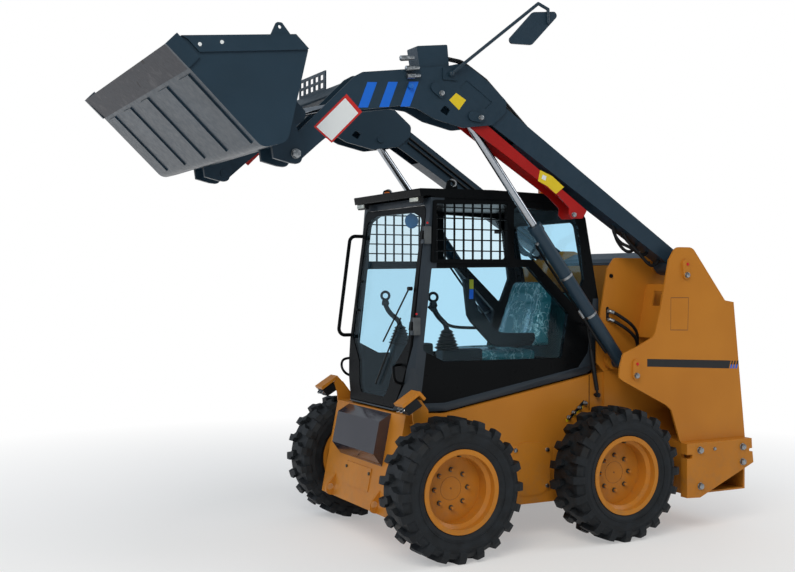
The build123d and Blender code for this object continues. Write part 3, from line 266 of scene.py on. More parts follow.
# paints: name, colour, shade that it drifts to, roughness
AMBER = machine_paint("amber_enamel", "#c07c28", "#b47122", 0.36, gloss=0.18, dust_top=0.7)
BLUE_GREY = machine_paint("blue_grey_enamel", "#223645", "#1d2f3c", 0.34)
BLACK = machine_paint("black_enamel", "#0a0c0e", "#0e1012", 0.3, gloss=0.06)
CAB_GREY = machine_paint("dark_grey_enamel", "#2d363f", "#262e35", 0.32)
STEP_PAINT = machine_paint("glossy_step_enamel", "#332f38", "#2a2830", 0.12, gloss=0.9)
RED = machine_paint("signal_red_enamel", "#a5130f", "#8f0f0b", 0.34)
# the rear hood's paint is lighter than the blue-grey enamel: a painted highlight of the light that falls on
# its top
HOOD_TOP_LIT_BLUE = machine_paint("slate_enamel", "#43515e", "#3a4754", 0.4)
STEEL = worn_steel("scraped_edge_steel", bright="#65676b", dark="#3a3a40", rust="#4f4238", roughness=0.55)
# plated metals: name, dark, bright, smoothest, roughest, size of its marks in millimetres
CHROME = plated("hard_chrome_rod", "#8f959c", "#b9bec4", 0.1, 0.2, 4)
ZINC = plated("zinc_plated_steel", "#7d8285", "#a9adb0", 0.28, 0.45, 9)
DULL_ZINC = plated("phosphated_steel", "#4c5048", "#6d7066", 0.4, 0.6, 6)
REFLECTOR = plated("aluminised_reflector", "#c9ced2", "#eef1f4", 0.05, 0.12, 12)
# moulded: name, colour, shade, roughness, then the size of its clouds and its grain, and the grain's depth
TYRE = moulded("carbon_black_tyre_rubber", "#101316", "#23282d", 0.62, 70, 3, 0.35)
RUBBER = moulded("black_moulded_rubber", "#0d0e10", "#17181b", 0.6, 50, 1.6, 0.15)
PLASTIC = moulded("black_glass_filled_nylon", "#0f1113", "#191b1e", 0.42, 50, 1.6, 0.15)
LINER = moulded("grey_abs_liner", "#2b4c4f", "#33565a", 0.5, 90, 1.5, 0.1)
PALE_PLASTIC = moulded("grey_hinge_cover", "#4a4f52", "#585d60", 0.45, 40, 1.5, 0.1)
WRAPPED = wrapped_vinyl()
GLASS = safety_glass()
# films and small tinted mouldings: name, colour, roughness
BLUE_FILM = printed_film("blue_stripe_film", "#0b62cc")
WHITE_FILM = printed_film("white_label_film", "#d9dfe2")
YELLOW_FILM = printed_film("yellow_label_film", "#d8bd1c")
BLACK_FILM = printed_film("black_band_film", "#0d1013")
RED_FILM = printed_film("red_border_film", "#b9221e")
TAN_FILM = printed_film("tan_outline_film", "#7c4f1d")
RED_CAP = printed_film("red_grease_cap", "#c8161c", 0.35)
BLUE_CAP = printed_film("blue_dust_cap", "#1761b8", 0.35)
LENS = printed_film("orange_polycarbonate", "#f07818", 0.15)
PALE_LENS = printed_film("clear_polycarbonate_lens", "#c9cfc8", 0.12)
MIRROR_BLUE = printed_film("tinted_mirror_glass", "#3d6f9e", 0.06)

FINISH_BY_SLOT = {
    "amber_paint": AMBER, "blue_grey_paint": BLUE_GREY, "black_paint": BLACK, "red_paint": RED,
    "bare_steel": ZINC, "chrome_rod": CHROME, "tyre_rubber": TYRE, "clear_glass": GLASS,
    "black_plastic": PLASTIC, "seat_vinyl": WRAPPED, "orange_lens": LENS, "lamp_black": PLASTIC,
    "engine_metal": DULL_ZINC,
}
# nodes whose finish isn't their slot's
FINISH_BY_NODE = {
    # the rear hood's lighter paint is a painted highlight of top light
    "cutting_edge": STEEL, "pivot_pins": AMBER, "arm_pins": BLUE_GREY, "rear_hood": HOOD_TOP_LIT_BLUE,
    "cab_front": CAB_GREY, "mirror_left": BLUE_GREY, "front_step": STEP_PAINT,
}


def paint_cad_nodes():
    """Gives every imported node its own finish, or that of its slot."""
    slots = {part["node"]: part["material_slot"] for part in frame["record"]["subparts"]}
    for name, made in NODES.items():
        finish = FINISH_BY_NODE.get(name, FINISH_BY_SLOT[slots[name]])
        made.data.materials.clear()
        made.data.materials.append(finish)


# ------------------------------------------------------------------ making and keeping pieces
def pick(pieces):
    """Selects these pieces alone, with the first one active."""
    bpy.ops.object.select_all(action="DESELECT")
    for piece in pieces:
        piece.select_set(True)
    bpy.context.view_layer.objects.active = pieces[0]


def bake_place(piece):
    """Puts a piece's place into its mesh, so that its object sits at the origin."""
    bpy.context.view_layer.update()
    piece.data.transform(piece.matrix_world)
    piece.matrix_world = Matrix.Identity(4)


def keep(name, piece, body, material, smooth=35):
    """Finishes a piece: its name, place, material and smoothing, and the body that it rides on."""
    piece.name = name
    bake_place(piece)
    piece.data.materials.clear()
    piece.data.materials.append(material)
    pick([piece])
    bpy.ops.object.shade_smooth_by_angle(angle=math.radians(smooth))
    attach(piece, body)
    return piece


def joined(pieces):
    """Several meshes joined into the first one."""
    pick(pieces)
    if len(pieces) > 1:
        bpy.ops.object.join()
    return pieces[0]


def apply(piece, kind, **settings):
    """Adds a modifier and applies it."""
    pick([piece])
    modifier = piece.modifiers.new(kind.lower(), kind)
    for key, value in settings.items():
        setattr(modifier, key, value)
    bpy.ops.object.modifier_apply(modifier=modifier.name)
    return piece


def break_edges(piece, width_mm, segments=2):
    """Bevels a piece's sharp edges, unless the width is nought."""
    if width_mm:
        apply(piece, "BEVEL", width=width_mm * MM, segments=segments, limit_method="ANGLE")
    return piece


def stand(foot, outward):
    """The matrix that puts the origin at a point in metres, and turns +Z outward from it."""
    return Matrix.Translation(foot) @ Vector(outward).to_track_quat("Z", "Y").to_matrix().to_4x4()


def stood(piece, foot, outward):
    """A piece that was made round the origin, moved to its place."""
    piece.matrix_world = stand(foot, outward)
    bake_place(piece)
    return piece


def copy_at(piece, matrix):
    """A copy of a modelled piece, with its own mesh, placed by a matrix."""
    made = bpy.data.objects.new(piece.name + "_copy", piece.data.copy())
    bpy.context.scene.collection.objects.link(made)
    made.data.transform(matrix @ piece.matrix_world)
    return made


def drop(piece):
    """Deletes a pattern once its copies are made."""
    bpy.data.objects.remove(piece)


def bar(start, end, radius_mm, sides=20, bevel_mm=0.0):
    """A round bar between two points, with its end edges broken."""
    a, b = at(*start), at(*end)
    bpy.ops.mesh.primitive_cylinder_add(vertices=sides, radius=radius_mm * MM, depth=(b - a).length)
    made = stood(bpy.context.active_object, (a + b) / 2, b - a)
    return break_edges(made, bevel_mm)


def block(low, high, bevel_mm=2.0):
    """A block between two corners, with its edges broken."""
    a, b = at(*low), at(*high)
    bpy.ops.mesh.primitive_cube_add(size=1, location=(a + b) / 2)
    made = bpy.context.active_object
    made.scale = [max(abs(v), 1e-5) for v in (b - a)]
    bpy.ops.object.transform_apply(location=True, rotation=True, scale=True)
    return break_edges(made, bevel_mm)


def side_plate(corners, x_low, x_high, bevel_mm=0.0):
    """A plate with side view corners (y, z), between two x planes."""
    bpy.ops.mesh.primitive_circle_add(vertices=len(corners), radius=1, fill_type="NGON")
    made = bpy.context.active_object
    for vertex, (y, z) in zip(made.data.vertices, corners):
        vertex.co = at(x_low, y, z)
    bpy.ops.object.mode_set(mode="EDIT")
    bpy.ops.mesh.select_all(action="SELECT")
    bpy.ops.mesh.extrude_region_move(TRANSFORM_OT_translate={"value": ((x_high - x_low) * MM, 0, 0)})
    bpy.ops.mesh.select_all(action="SELECT")
    bpy.ops.mesh.normals_make_consistent(inside=False)
    bpy.ops.object.mode_set(mode="OBJECT")
    return break_edges(made, bevel_mm)


def soft_line(name, points, radius_mm):
    """A smooth curve along given points, with a round section."""
    curve = bpy.data.curves.new(name, "CURVE")
    curve.dimensions = "3D"
    curve.bevel_depth = radius_mm * MM
    curve.bevel_resolution = 2
    curve.use_fill_caps = True
    curve.resolution_u = 6
    spline = curve.splines.new("NURBS")
    spline.points.add(len(points) - 1)
    for point, place in zip(spline.points, points):
        point.co = (*at(*place), 1)
    spline.order_u = 3
    spline.use_endpoint_u = True
    made = bpy.data.objects.new(name, curve)
    bpy.context.scene.collection.objects.link(made)
    return made


def hose(points, radius_mm):
    """A hose or bent tube that is held all the way, as a mesh."""
    pick([soft_line("hose", points, radius_mm)])
    bpy.ops.object.convert(target="MESH")
    return bpy.context.active_object


def free_cord(name, points, radius_mm, body, material):
    """A hose that hangs free between two fittings, as a round curve on its body."""
    made = soft_line(name, points, radius_mm)
    made.data.materials.append(material)
    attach(made, body)
    return made


def ring(centre, normal, major_mm, minor_mm, around=48, across=8):
    """A round ring about a normal."""
    bpy.ops.mesh.primitive_torus_add(major_radius=major_mm * MM, minor_radius=minor_mm * MM,
                                     major_segments=around, minor_segments=across)
    return stood(bpy.context.active_object, at(*centre), normal)


def turned(foot, normal, profile, around=32):
    """A turned piece: its closed profile of (radius, height) goes once round a line from its foot."""
    bpy.ops.mesh.primitive_circle_add(vertices=len(profile), radius=1, fill_type="NOTHING")
    made = bpy.context.active_object
    for vertex, (radius, height) in zip(made.data.vertices, profile):
        vertex.co = (radius * MM, 0, height * MM)
    apply(made, "SCREW", angle=math.tau, steps=around, render_steps=around)
    bpy.ops.object.mode_set(mode="EDIT")
    bpy.ops.mesh.select_all(action="SELECT")
    bpy.ops.mesh.remove_doubles(threshold=0.02 * MM)
    bpy.ops.mesh.dissolve_degenerate(threshold=0.02 * MM)
    bpy.ops.mesh.select_all(action="SELECT")
    bpy.ops.mesh.normals_make_consistent(inside=False)
    bpy.ops.object.mode_set(mode="OBJECT")
    return stood(made, at(*foot), normal)


# ------------------------------------------------------------------ fasteners
def hex_bolt(size_mm):
    """Hexagon head on a washer, standing on +Z from the origin; size_mm is the thread's diameter."""
    across = 1.7 * size_mm * MM
    bpy.ops.mesh.primitive_cylinder_add(vertices=24, radius=0.62 * across, depth=0.18 * size_mm * MM,
                                        location=(0, 0, 0.09 * size_mm * MM))
    washer = break_edges(bpy.context.active_object, 0.03 * size_mm, 1)
    bpy.ops.mesh.primitive_cylinder_add(vertices=6, radius=across / math.sqrt(3), depth=0.62 * size_mm * MM,
                                        location=(0, 0, 0.49 * size_mm * MM))
    head = break_edges(bpy.context.active_object, 0.07 * size_mm)
    made = joined([washer, head])
    bake_place(made)
    return made


# body, thread size, finish, sides, and points of a left-hand surface that faces outward
BOLT_ROWS = (
    ("chassis", 20, ZINC, BOTH, ((755, 1097, 486), (755, 1434, 484), (755, 1435, 393), (755, 1100, 272))),
    ("chassis", 10, ZINC, BOTH, ((755, 1211, 487),)),
    ("chassis", 16, ZINC, BOTH, ((712, 1032, 1525), (712, 656, 942))),
    ("chassis", 12, ZINC, BOTH, ((455, -8, 520), (455, 212, 510), (455, 212, 300), (455, -8, 300))),
    ("chassis", 12, BLACK, BOTH, ((462, 664, 1519),)),
    ("lift_arms", 14, ZINC, BOTH, ((640, -355, 2372), (640, -600, 2485))),
    ("lift_arms", 24, ZINC, BOTH, ((664, -1441, 2117),)),
    ("safety_brace", 14, ZINC, (LEFT,), ((613, 280, 1866),)),
)


def bolts():
    """All hexagon heads on the sides, one joined piece for each row."""
    for body, size, finish, sides, points in BOLT_ROWS:
        pattern = hex_bolt(size)
        made = [copy_at(pattern, stand(at(side * x, y, z), (side, 0, 0)))
                for x, y, z in points for side in sides]
        drop(pattern)
        keep(f"bolts_{body}_m{size}_{finish.name}", joined(made), body, finish, 30)


# ------------------------------------------------------------------ wheels
# name, side and y of each wheel
WHEELS = (
    ("front_left", LEFT, -AXLE_Y), ("front_right", RIGHT, -AXLE_Y),
    ("rear_left", LEFT, AXLE_Y), ("rear_right", RIGHT, AXLE_Y),
)
# radius of each moulded line on a tyre's wall, its distance from the tyre's middle, and half its width
WALL_LINES = ((262, 127.2, 2.6), (311, 128.6, 2.2), (318, 128.2, 1.4))
CENTRE_MARK = ((0, 2.6), (5, 2.2), (6, 0), (0, 0))  # profile of the small boss in a disc's middle


def wheels():
    """Nuts and valve of each wheel, the turned lines on its disc and the lines on its tyre's wall."""
    nut = hex_bolt(13)
    for name, side, y in WHEELS:
        body = f"wheel_{name}"
        nuts = []
        for index in range(STUDS):
            # the right wheels stand half a stud's pitch round from the left ones
            angle = math.radians(45 * index + (0 if side == LEFT else 22.5))
            place = at(side * DISC_X, y + STUD_CIRCLE_RADIUS * math.cos(angle),
                       AXLE_Z + STUD_CIRCLE_RADIUS * math.sin(angle))
            nuts.append(copy_at(nut, stand(place, (side, 0, 0))))
        valve = bar((side * 690, y, AXLE_Z + 178), (side * 752, y, AXLE_Z + 186), 4, 10, 0.5)
        keep(f"wheel_nuts_{name}", joined(nuts + [valve]), body, DULL_ZINC, 30)
        lines = [ring((side * DISC_X, y, AXLE_Z), (1, 0, 0), 62, 1.1, around=64, across=6),
                 turned((side * (DISC_X - 1), y, AXLE_Z), (side, 0, 0), CENTRE_MARK, around=16)]
        keep(f"disc_lines_{name}", joined(lines), body, TAN_FILM)
        ribs = [ring((side * (TYRE_X + out), y, AXLE_Z), (1, 0, 0), major, minor, around=96)
                for major, out, minor in WALL_LINES]
        keep(f"wall_ribs_{name}", joined(ribs), body, TYRE)
    drop(nut)


# ------------------------------------------------------------------ films on the paint
def slashes(corners):
    """Three slanted bars at the rear end of a tower's band, each a step further back."""
    return tuple(tuple((y + 22 * step, z - step) for y, z in corners) for step in range(3))


def stripes(corners):
    """Three stripes across a gooseneck, each as high on its slope as the first."""
    return tuple(tuple((y + step, z + 0.093 * step) for y, z in corners) for step in (0, 120, 243))


# name, body, x of the face under it, film, slot, and corners (y, z) of its shapes; each is on both sides
FILMS = (
    ("tower_band", "chassis", TOWER_X, BLACK_FILM, "black_paint",
     (((743, 1035), (1390, 1005), (1376, 957), (743, 990)),
      *slashes(((1398, 1004), (1391, 980), (1404, 980), (1411, 1004))))),
    ("tower_slashes", "chassis", TOWER_X, BLUE_FILM, "blue_grey_paint",
     slashes(((1391, 980), (1384, 957), (1397, 957), (1404, 980)))),
    ("arm_label_border", "lift_arms", ARM_X, RED_FILM, "red_paint",
     (((-1330, 2262), (-1232, 2186), (-1062, 2355), (-1150, 2440)),)),
    ("arm_blank_label", "lift_arms", ARM_X + FILM, WHITE_FILM, "red_paint",
     (((-1316, 2262), (-1233, 2198), (-1084, 2347), (-1158, 2418)),)),
    ("arm_yellow_patch", "lift_arms", ARM_X, YELLOW_FILM, "amber_paint",
     (((-549, 2454), (-506, 2495), (-444, 2462), (-488, 2405)),)),
    ("gooseneck_stripes", "lift_arms", ARM_X, BLUE_FILM, "blue_grey_paint",
     stripes(((-1032, 2510), (-977, 2514), (-1029, 2380), (-1085, 2375)))),
)
TOWER_LABEL = ((918, 1393), (1057, 1392), (1051, 1195), (917, 1198))
# name, x of the face under it, film and corners (y, z) of each patch on the left side's brace
BRACE_FILMS = (
    ("patch", BRACE_X, YELLOW_FILM,
     ((48, 2110), (130, 2080), (212, 2021), (157, 1980), (96, 2023), (35, 2048))),
    ("pale", BRACE_X + FILM, WHITE_FILM, ((66, 2085), (92, 2076), (84, 2052), (58, 2062))),
)


def outline_rows(corners, width):
    """The four thin strips that border a four-sided label."""
    middle = [sum(c[i] for c in corners) / 4 for i in (0, 1)]
    inner = []
    for y, z in corners:
        # a corner of the inner edge lies 1.4 widths in, on the diagonal
        share = 1.4 * width / math.hypot(y - middle[0], z - middle[1])
        inner.append((y + (middle[0] - y) * share, z + (middle[1] - z) * share))
    return [(corners[i], corners[(i + 1) % 4], inner[(i + 1) % 4], inner[i]) for i in range(4)]


def films():
    """Stripes, bands, slashes, outlines and blank labels on the painted plates."""
    for side in BOTH:
        for name, body, x, film, slot, shapes in FILMS:
            made = [side_plate(corners, side * x, side * (x + FILM)) for corners in shapes]
            keep(f"{name}_{SIDE_NAME[side]}", joined(made), body, film)
        made = [side_plate(corners, side * TOWER_X, side * (TOWER_X + 0.4))
                for corners in outline_rows(TOWER_LABEL, 4)]
        keep(f"tower_label_outline_{SIDE_NAME[side]}", joined(made), "chassis", TAN_FILM)
    for name, x, film, corners in BRACE_FILMS:
        keep(f"brace_{name}", side_plate(corners, x, x + 0.6), "safety_brace", film)


def bucket_discs():
    """Pale discs in the two holes at the top of each side of the bucket."""
    made = [bar((BUCKET_X * side, y, z), ((BUCKET_X + 1.1) * side, y, z), 9)
            for side in BOTH for y, z in ((-1996, 2561), (-1892, 2581))]
    keep("bucket_band_holes", joined(made), "bucket", WHITE_FILM)


# ------------------------------------------------------------------ towers and lift cylinders
# x, y, z along the upper hose that comes out of a tower's slot, and how far below it each hose lies
TOWER_HOSE = ((474, 646, 1308), (488, 668, 1300), (505, 706, 1275), (518, 760, 1240), (518, 810, 1195),
              (500, 838, 1150), (480, 850, 1105))
HOSE_DROPS = (0, 50)
GREASE_CAPS = ((1037, 1589), (662, 1009))  # y, z, each on a pin of a tower


def towers():
    """Red grease caps, a black sheet of painted shade that fills the slot in each inner plate, and the two
    free hoses that come out of it.
    """
    # height of the slot's round ends, and the angle at which each starts
    slot_ends = ((1324, 0), (1261, math.pi))
    for side in BOTH:
        name = SIDE_NAME[side]
        caps = [bar((side * 711, y, z), (side * 716, y, z), 9, 20, 1) for y, z in GREASE_CAPS]
        keep(f"grease_caps_{name}", joined(caps), "chassis", RED_CAP)
        # the slot's opening is filled with a thin black sheet: painted shade for the dark inside the tower
        corners = [(639 + 11 * math.cos(turn), z + 11 * math.sin(turn)) for z, start in slot_ends
                   for turn in [start + math.pi * step / 8 for step in range(9)]]
        slot = side_plate(corners, side * (TOWER_INSIDE_X - 0.5), side * (TOWER_INSIDE_X + 0.5))
        keep(f"tower_slot_{name}", slot, "chassis", RUBBER)
        for index, lower in enumerate(HOSE_DROPS, 1):
            points = [(side * x, y, z - lower) for x, y, z in TOWER_HOSE]
            free_cord(f"tower_hose_{name}_{index}", points, 10, "chassis", RUBBER)
            nut = bar((side * TOWER_INSIDE_X, 641, 1310 - lower), (side * 477, 648, 1307 - lower), 14, 6, 1)
            sleeve = bar((side * 470, 644, 1309 - lower), (side * 489, 669, 1299 - lower), 12, 16, 1)
            keep(f"tower_fitting_{name}_{index}", joined([nut, sleeve]), "chassis", ZINC, 30)


def along(side, aside, d):
    """A point beside a lift cylinder: d from its base pin along it, aside toward the front and below."""
    run, rise = LIFT_LINE[1:]
    return (side * ARM_MIDDLE_X, BASE_PIN_Y + run * d - rise * aside, BASE_PIN_Z + rise * d + run * aside)


# aside and d of each point of the tube along a lift cylinder's barrel, and of the hose that feeds it
BARREL_TUBE = ((38, 905), (56, 905), (60, 890), (58, 860), (56, 640), (52, 425))
BARREL_HOSE = ((50, 374), (50, 330), (52, 250), (50, 180), (46, 110))
CLAMP_PROFILE = ((38.5, 0), (41, 0), (41, 14), (38.5, 14))


def lift_cylinders():
    """Hard tube along each barrel with its fittings, the hose that feeds it, and two open clamp rings."""
    for side in BOTH:
        name, body = SIDE_NAME[side], f"lift_barrel_{SIDE_NAME[side]}"
        tube = hose([along(side, aside, d) for aside, d in BARREL_TUBE], 7)
        keep(f"cylinder_tube_{name}", tube, body, BLACK)
        silver = [bar(along(side, 50, 430), along(side, 50, 372), 10, 6, 1.5),
                  bar(along(side, 36, 905), along(side, 54, 905), 10, 6, 1.5)]
        keep(f"cylinder_fittings_{name}", joined(silver), body, ZINC, 30)
        feed = hose([along(side, aside, d) for aside, d in BARREL_HOSE], 9)
        keep(f"cylinder_hose_{name}", feed, body, RUBBER)
        clamps = [turned(along(side, 0, d), LIFT_LINE, CLAMP_PROFILE, around=48) for d in (353, 633)]
        keep(f"cylinder_clamps_{name}", joined(clamps), body, ZINC)


# ------------------------------------------------------------------ cab
# corners (y, z) of the pressed channel along the cab's foot, outer edge then inner, and of the tub's panel
CHANNEL_OUTER = ((-615, 768), (-442, 767), (515, 938), (592, 994), (600, 1383))
CHANNEL_INNER = ((-615, 814), (-458, 812), (453, 976), (523, 1064), (560, 1383))
ACCESS_PANEL = ((-38, 545), (225, 545), (248, 522), (248, 290), (225, 268), (-38, 268))


def cab_sides():
    """Foot channels, roof lifting rings, lamp lenses, and the tub's access panels and seams."""
    for side in BOTH:
        name = SIDE_NAME[side]
        channel = side_plate(CHANNEL_OUTER + CHANNEL_INNER[::-1], side * CAB_X, side * (CAB_X + 3.5), 1.2)
        keep(f"cab_channel_{name}", channel, "chassis", CAB_GREY)
        lift = ring((side * 399, -394, 2034), (0.9, -0.44, 0), 19, 6, around=32, across=10)
        keep(f"cab_lifting_ring_{name}", lift, "chassis", ZINC)
        lens = block((side * 298, -613, 1928), (side * 392, -607, 1949), 1.5)
        keep(f"cab_lamp_lens_{name}", lens, "chassis", PALE_LENS)
        panel = side_plate(ACCESS_PANEL, side * (TUB_X + 0.2), side * (TUB_X + 3), 1)
        keep(f"access_panel_{name}", panel, "chassis", AMBER)
        seam = block((side * (TUB_X - 1), 512, 722), (side * (TUB_X + 1.5), 516, 930), 0)
        keep(f"chassis_seam_{name}", seam, "chassis", BLACK_FILM)


def door_y(z):
    """How far back the cab door's outer plane lies at a height."""
    return DOOR_FOOT_Y + DOOR_LEAN * (z - DOOR_FOOT_Z)


def cab_front_fittings():
    """Right low grab loop, covers and caps of the door's hinges, and inside mirror."""
    loop = hose([(-CAB_X, y, z) for y, z in ((-608, 1011), (-660, 1014), (-700, 1000), (-702, 950),
                                             (-660, 905), (-608, 897))], 8)
    keep("low_grab_loop_right", loop, "chassis", BLACK)
    for z in (1239, 1740):
        y = door_y(z)
        cover = block((CAB_X + 0.5, y - 14, z - 48), (CAB_X + 14, y + 28, z + 48), 4)
        keep(f"hinge_cover_{z}", cover, "chassis", PALE_PLASTIC)
        cap = bar((CAB_X + 4, y + 6, z + 68), (CAB_X + 8, y + 6, z + 68), 6, 16, 1)
        keep(f"hinge_cap_{z}", cap, "chassis", RED_CAP)
    mirror = turned((134, -512, 1832), (0.6, -0.8, -0.1), ((0, -6), (40, -6), (43, 0), (38, 4), (0, 5)))
    keep("inside_mirror", mirror, "chassis", MIRROR_BLUE)


# y, z of each tap on the tub's left side, from the rear down
DRAIN_TAPS = ((477, 767), (436, 741), (394, 715), (360, 689))
TAP_PROFILE = ((0, 0), (13, 0), (13, 8), (9, 10), (9, 22), (6, 24), (0, 24))


def drain():
    """Sloping plate on the tub's left side, its four taps, and the blank strip under them."""
    plate = block((TUB_X + 0.5, 340, 668), (TUB_X + 6, 492, 684), 1)
    slope = Matrix.Rotation(math.radians(41), 4, "X")
    to_place = Matrix.Translation(at(453, 420, 727))
    plate.data.transform(to_place @ slope @ Matrix.Translation(-at(453, 416, 676)))
    keep("drain_plate", plate, "chassis", PLASTIC)
    taps = [turned((455, y, z), (1, 0, 0), TAP_PROFILE, 20) for y, z in DRAIN_TAPS]
    keep("drain_taps", joined(taps), "chassis", ZINC, 30)
    strip = side_plate(((352, 660), (470, 738), (462, 752), (344, 674)), TUB_X + 0.4, TUB_X + 1)
    keep("drain_blank_strip", strip, "chassis", YELLOW_FILM)


def latch_and_marker():
    """Latch of the left side window, and the round marker lamp above the cab's door."""
    latch = block((CAB_X, -134, 1757), (CAB_X + 8, -102, 1781), 2)
    keep("window_latch", latch, "chassis", PLASTIC)
    marker = turned((-86, -560, 2005), (0, 0, 1), ((0, 9), (13, 8), (16, 4), (16, 0), (0, 0)), 24)
    keep("cab_round_marker", marker, "chassis", LENS)


def door_line(x, z, before):
    """A point that many millimetres before the cab door's outer plane."""
    return (x, door_y(z) - before, z)


# x, z and how far before the door each point of its handle and of its low grab loop lies
DOOR_HANDLE = ((-300, 1484, 2), (-300, 1482, 24), (-300, 1460, 34), (-300, 1400, 36), (-300, 1336, 34),
               (-300, 1314, 24), (-300, 1311, 2))
DOOR_LOOP = ((310, 1023, -4), (335, 1024, 60), (395, 1010, 88), (405, 970, 86), (385, 930, 56),
             (359, 921, -4))


def cab_door_fittings():
    """Wiper with its spindle, the door's handle and its low grab loop."""
    arm = bar(door_line(340, 1445, 22), door_line(90, 1140, 16), 5, 10, 1)
    blade = bar(door_line(258, 1280, 9), door_line(46, 896, 9), 5, 8, 1)
    spindle = bar(door_line(340, 1445, 2), door_line(340, 1445, 30), 11, 20, 2)
    keep("wiper", joined([arm, blade, spindle]), "cab_door", PLASTIC)
    handle = hose([door_line(x, z, before) for x, z, before in DOOR_HANDLE], 8)
    keep("door_handle", handle, "cab_door", PLASTIC)
    loop = hose([door_line(x, z, before) for x, z, before in DOOR_LOOP], 8)
    keep("low_grab_loop_left", loop, "cab_door", BLACK)


# ------------------------------------------------------------------ inside the cab
SWELL = 9 * MM  # room that a cover leaves to swell into
CLOTH_FRAMES = 20
SEAM_PINNED = 5 * MM  # a vertex this near a seam stays where it is
SEAM_WIDTH = 12 * MM  # a seam's groove reaches this far to each side
SEAM_DEPTH = 3 * MM


def shrunk_copy(source, narrow):
    """A packed cushion's skin, less its room to swell and narrowed upwards, with its middle and size."""
    made = copy_at(NODES[source], Matrix.Identity(4))
    vertices = made.data.vertices
    low = Vector([min(v.co[i] for v in vertices) for i in range(3)])
    high = Vector([max(v.co[i] for v in vertices) for i in range(3)])
    middle, size = (low + high) / 2, high - low
    for vertex in vertices:
        for i in range(3):
            vertex.co[i] = middle[i] + (vertex.co[i] - middle[i]) * (size[i] - 2 * SWELL) / size[i]
        taper = 1 - narrow * (vertex.co[2] - low[2]) / size[2]
        vertex.co[0] = middle[0] + (vertex.co[0] - middle[0]) * taper
    pick([made])
    bpy.ops.object.mode_set(mode="EDIT")
    bpy.ops.mesh.select_all(action="SELECT")
    bpy.ops.mesh.remove_doubles(threshold=0.01 * MM)
    bpy.ops.object.mode_set(mode="OBJECT")
    return made, middle, size


def swell(cover):
    """Blows a cover up as cloth that is pinned at its seams, with no point moved by more than its room."""
    rest = [vertex.co.copy() for vertex in cover.data.vertices]
    cloth = cover.modifiers.new("cloth", "CLOTH")
    cloth.settings.vertex_group_mass = "seams"
    cloth.settings.use_pressure = True
    cloth.settings.uniform_pressure_force = 4.0
    cloth.settings.mass = 0.3
    cloth.settings.effector_weights.gravity = 0.0
    cloth.point_cache.frame_start = 1
    cloth.point_cache.frame_end = CLOTH_FRAMES
    for frame_number in range(1, CLOTH_FRAMES + 1):
        bpy.context.scene.frame_set(frame_number)
    bpy.context.view_layer.objects.active = cover
    bpy.ops.object.modifier_apply(modifier=cloth.name)
    bpy.context.scene.frame_set(1)
    for vertex, was in zip(cover.data.vertices, rest):
        moved = vertex.co - was
        vertex.co = was + moved * min(1.0, SWELL / max(moved.length, 1e-9))


def padded_cover(source, seams, narrow):
    """A cushion's cover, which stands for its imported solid.

    A seam lies across an axis, at a share of the cushion's size from its middle.
    """
    made, middle, size = shrunk_copy(source, narrow)

    def to_seam(point):
        return min(abs(point[axis] - (middle[axis] + share * size[axis])) for axis, share in seams)

    apply(made, "REMESH", mode="VOXEL", voxel_size=9 * MM)
    apply(made, "SMOOTH", factor=0.7, iterations=12)
    group = made.vertex_groups.new(name="seams")
    for vertex in made.data.vertices:
        if to_seam(vertex.co) < SEAM_PINNED:
            group.add([vertex.index], 1.0, "REPLACE")
    swell(made)
    for vertex in made.data.vertices:
        near = to_seam(vertex.co)
        if near < SEAM_WIDTH:
            vertex.co += (middle - vertex.co).normalized() * SEAM_DEPTH * (1 - near / SEAM_WIDTH)
    apply(made, "SUBSURF", levels=1, render_levels=1)
    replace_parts(keep(f"{source}_cover", made, "chassis", WRAPPED, 60), source)


def seat():
    """Cushion and backrest, each a stuffed cover with three seams; axis 0 is across and 2 is up."""
    padded_cover("seat_cushion", seams=((0, -0.27), (0, 0.27), (2, -0.1)), narrow=0.0)
    padded_cover("seat_backrest", seams=((0, -0.27), (0, 0.27), (2, 0.18)), narrow=0.28)


# x, y, z along a control lever; radius and height round its grip; and round the folds of its bellows boot
LEVER = ((290, -366, 1205), (292, -372, 1240), (296, -400, 1262), (300, -432, 1290), (302, -458, 1330),
         (302, -462, 1350))
GRIP_PROFILE = ((0, 0), (19, 2), (24, 12), (19, 34), (0, 38))
BOOT_FOLDS = [point for fold in range(6)
              for point in ((60 - 6 * fold, 18 * fold), (72 - 7 * fold, 18 * fold + 9))]
BOOT_PROFILE = ((0, 0), *BOOT_FOLDS, (16, 113), (0, 113))
# corners (y, z) of the lap bar's side plate, and x, y, z along the arm that carries it
LAP_BAR = ((-243, 1500), (-236, 1452), (-215, 1290), (-190, 1250), (-55, 1120), (-20, 1105), (93, 1098),
           (230, 1105), (256, 1140), (250, 1178), (66, 1182), (20, 1185), (-20, 1200), (-140, 1318),
           (-160, 1360), (-170, 1500))
LAP_BAR_ARM = ((236, -455, 1342), (236, -379, 1275), (236, -328, 1230), (236, -240, 1216),
               (236, -122, 1214))
LAP_BAR_X = 270  # outer face of the lap bar
# name, film and corners (y, z) of each blank label on it
LAP_BAR_LABELS = (
    ("blue", BLUE_FILM, ((-207, 1384), (-180, 1384), (-178, 1440), (-205, 1440))),
    ("yellow", YELLOW_FILM, ((-205, 1442), (-178, 1442), (-178, 1496), (-205, 1496))),
)


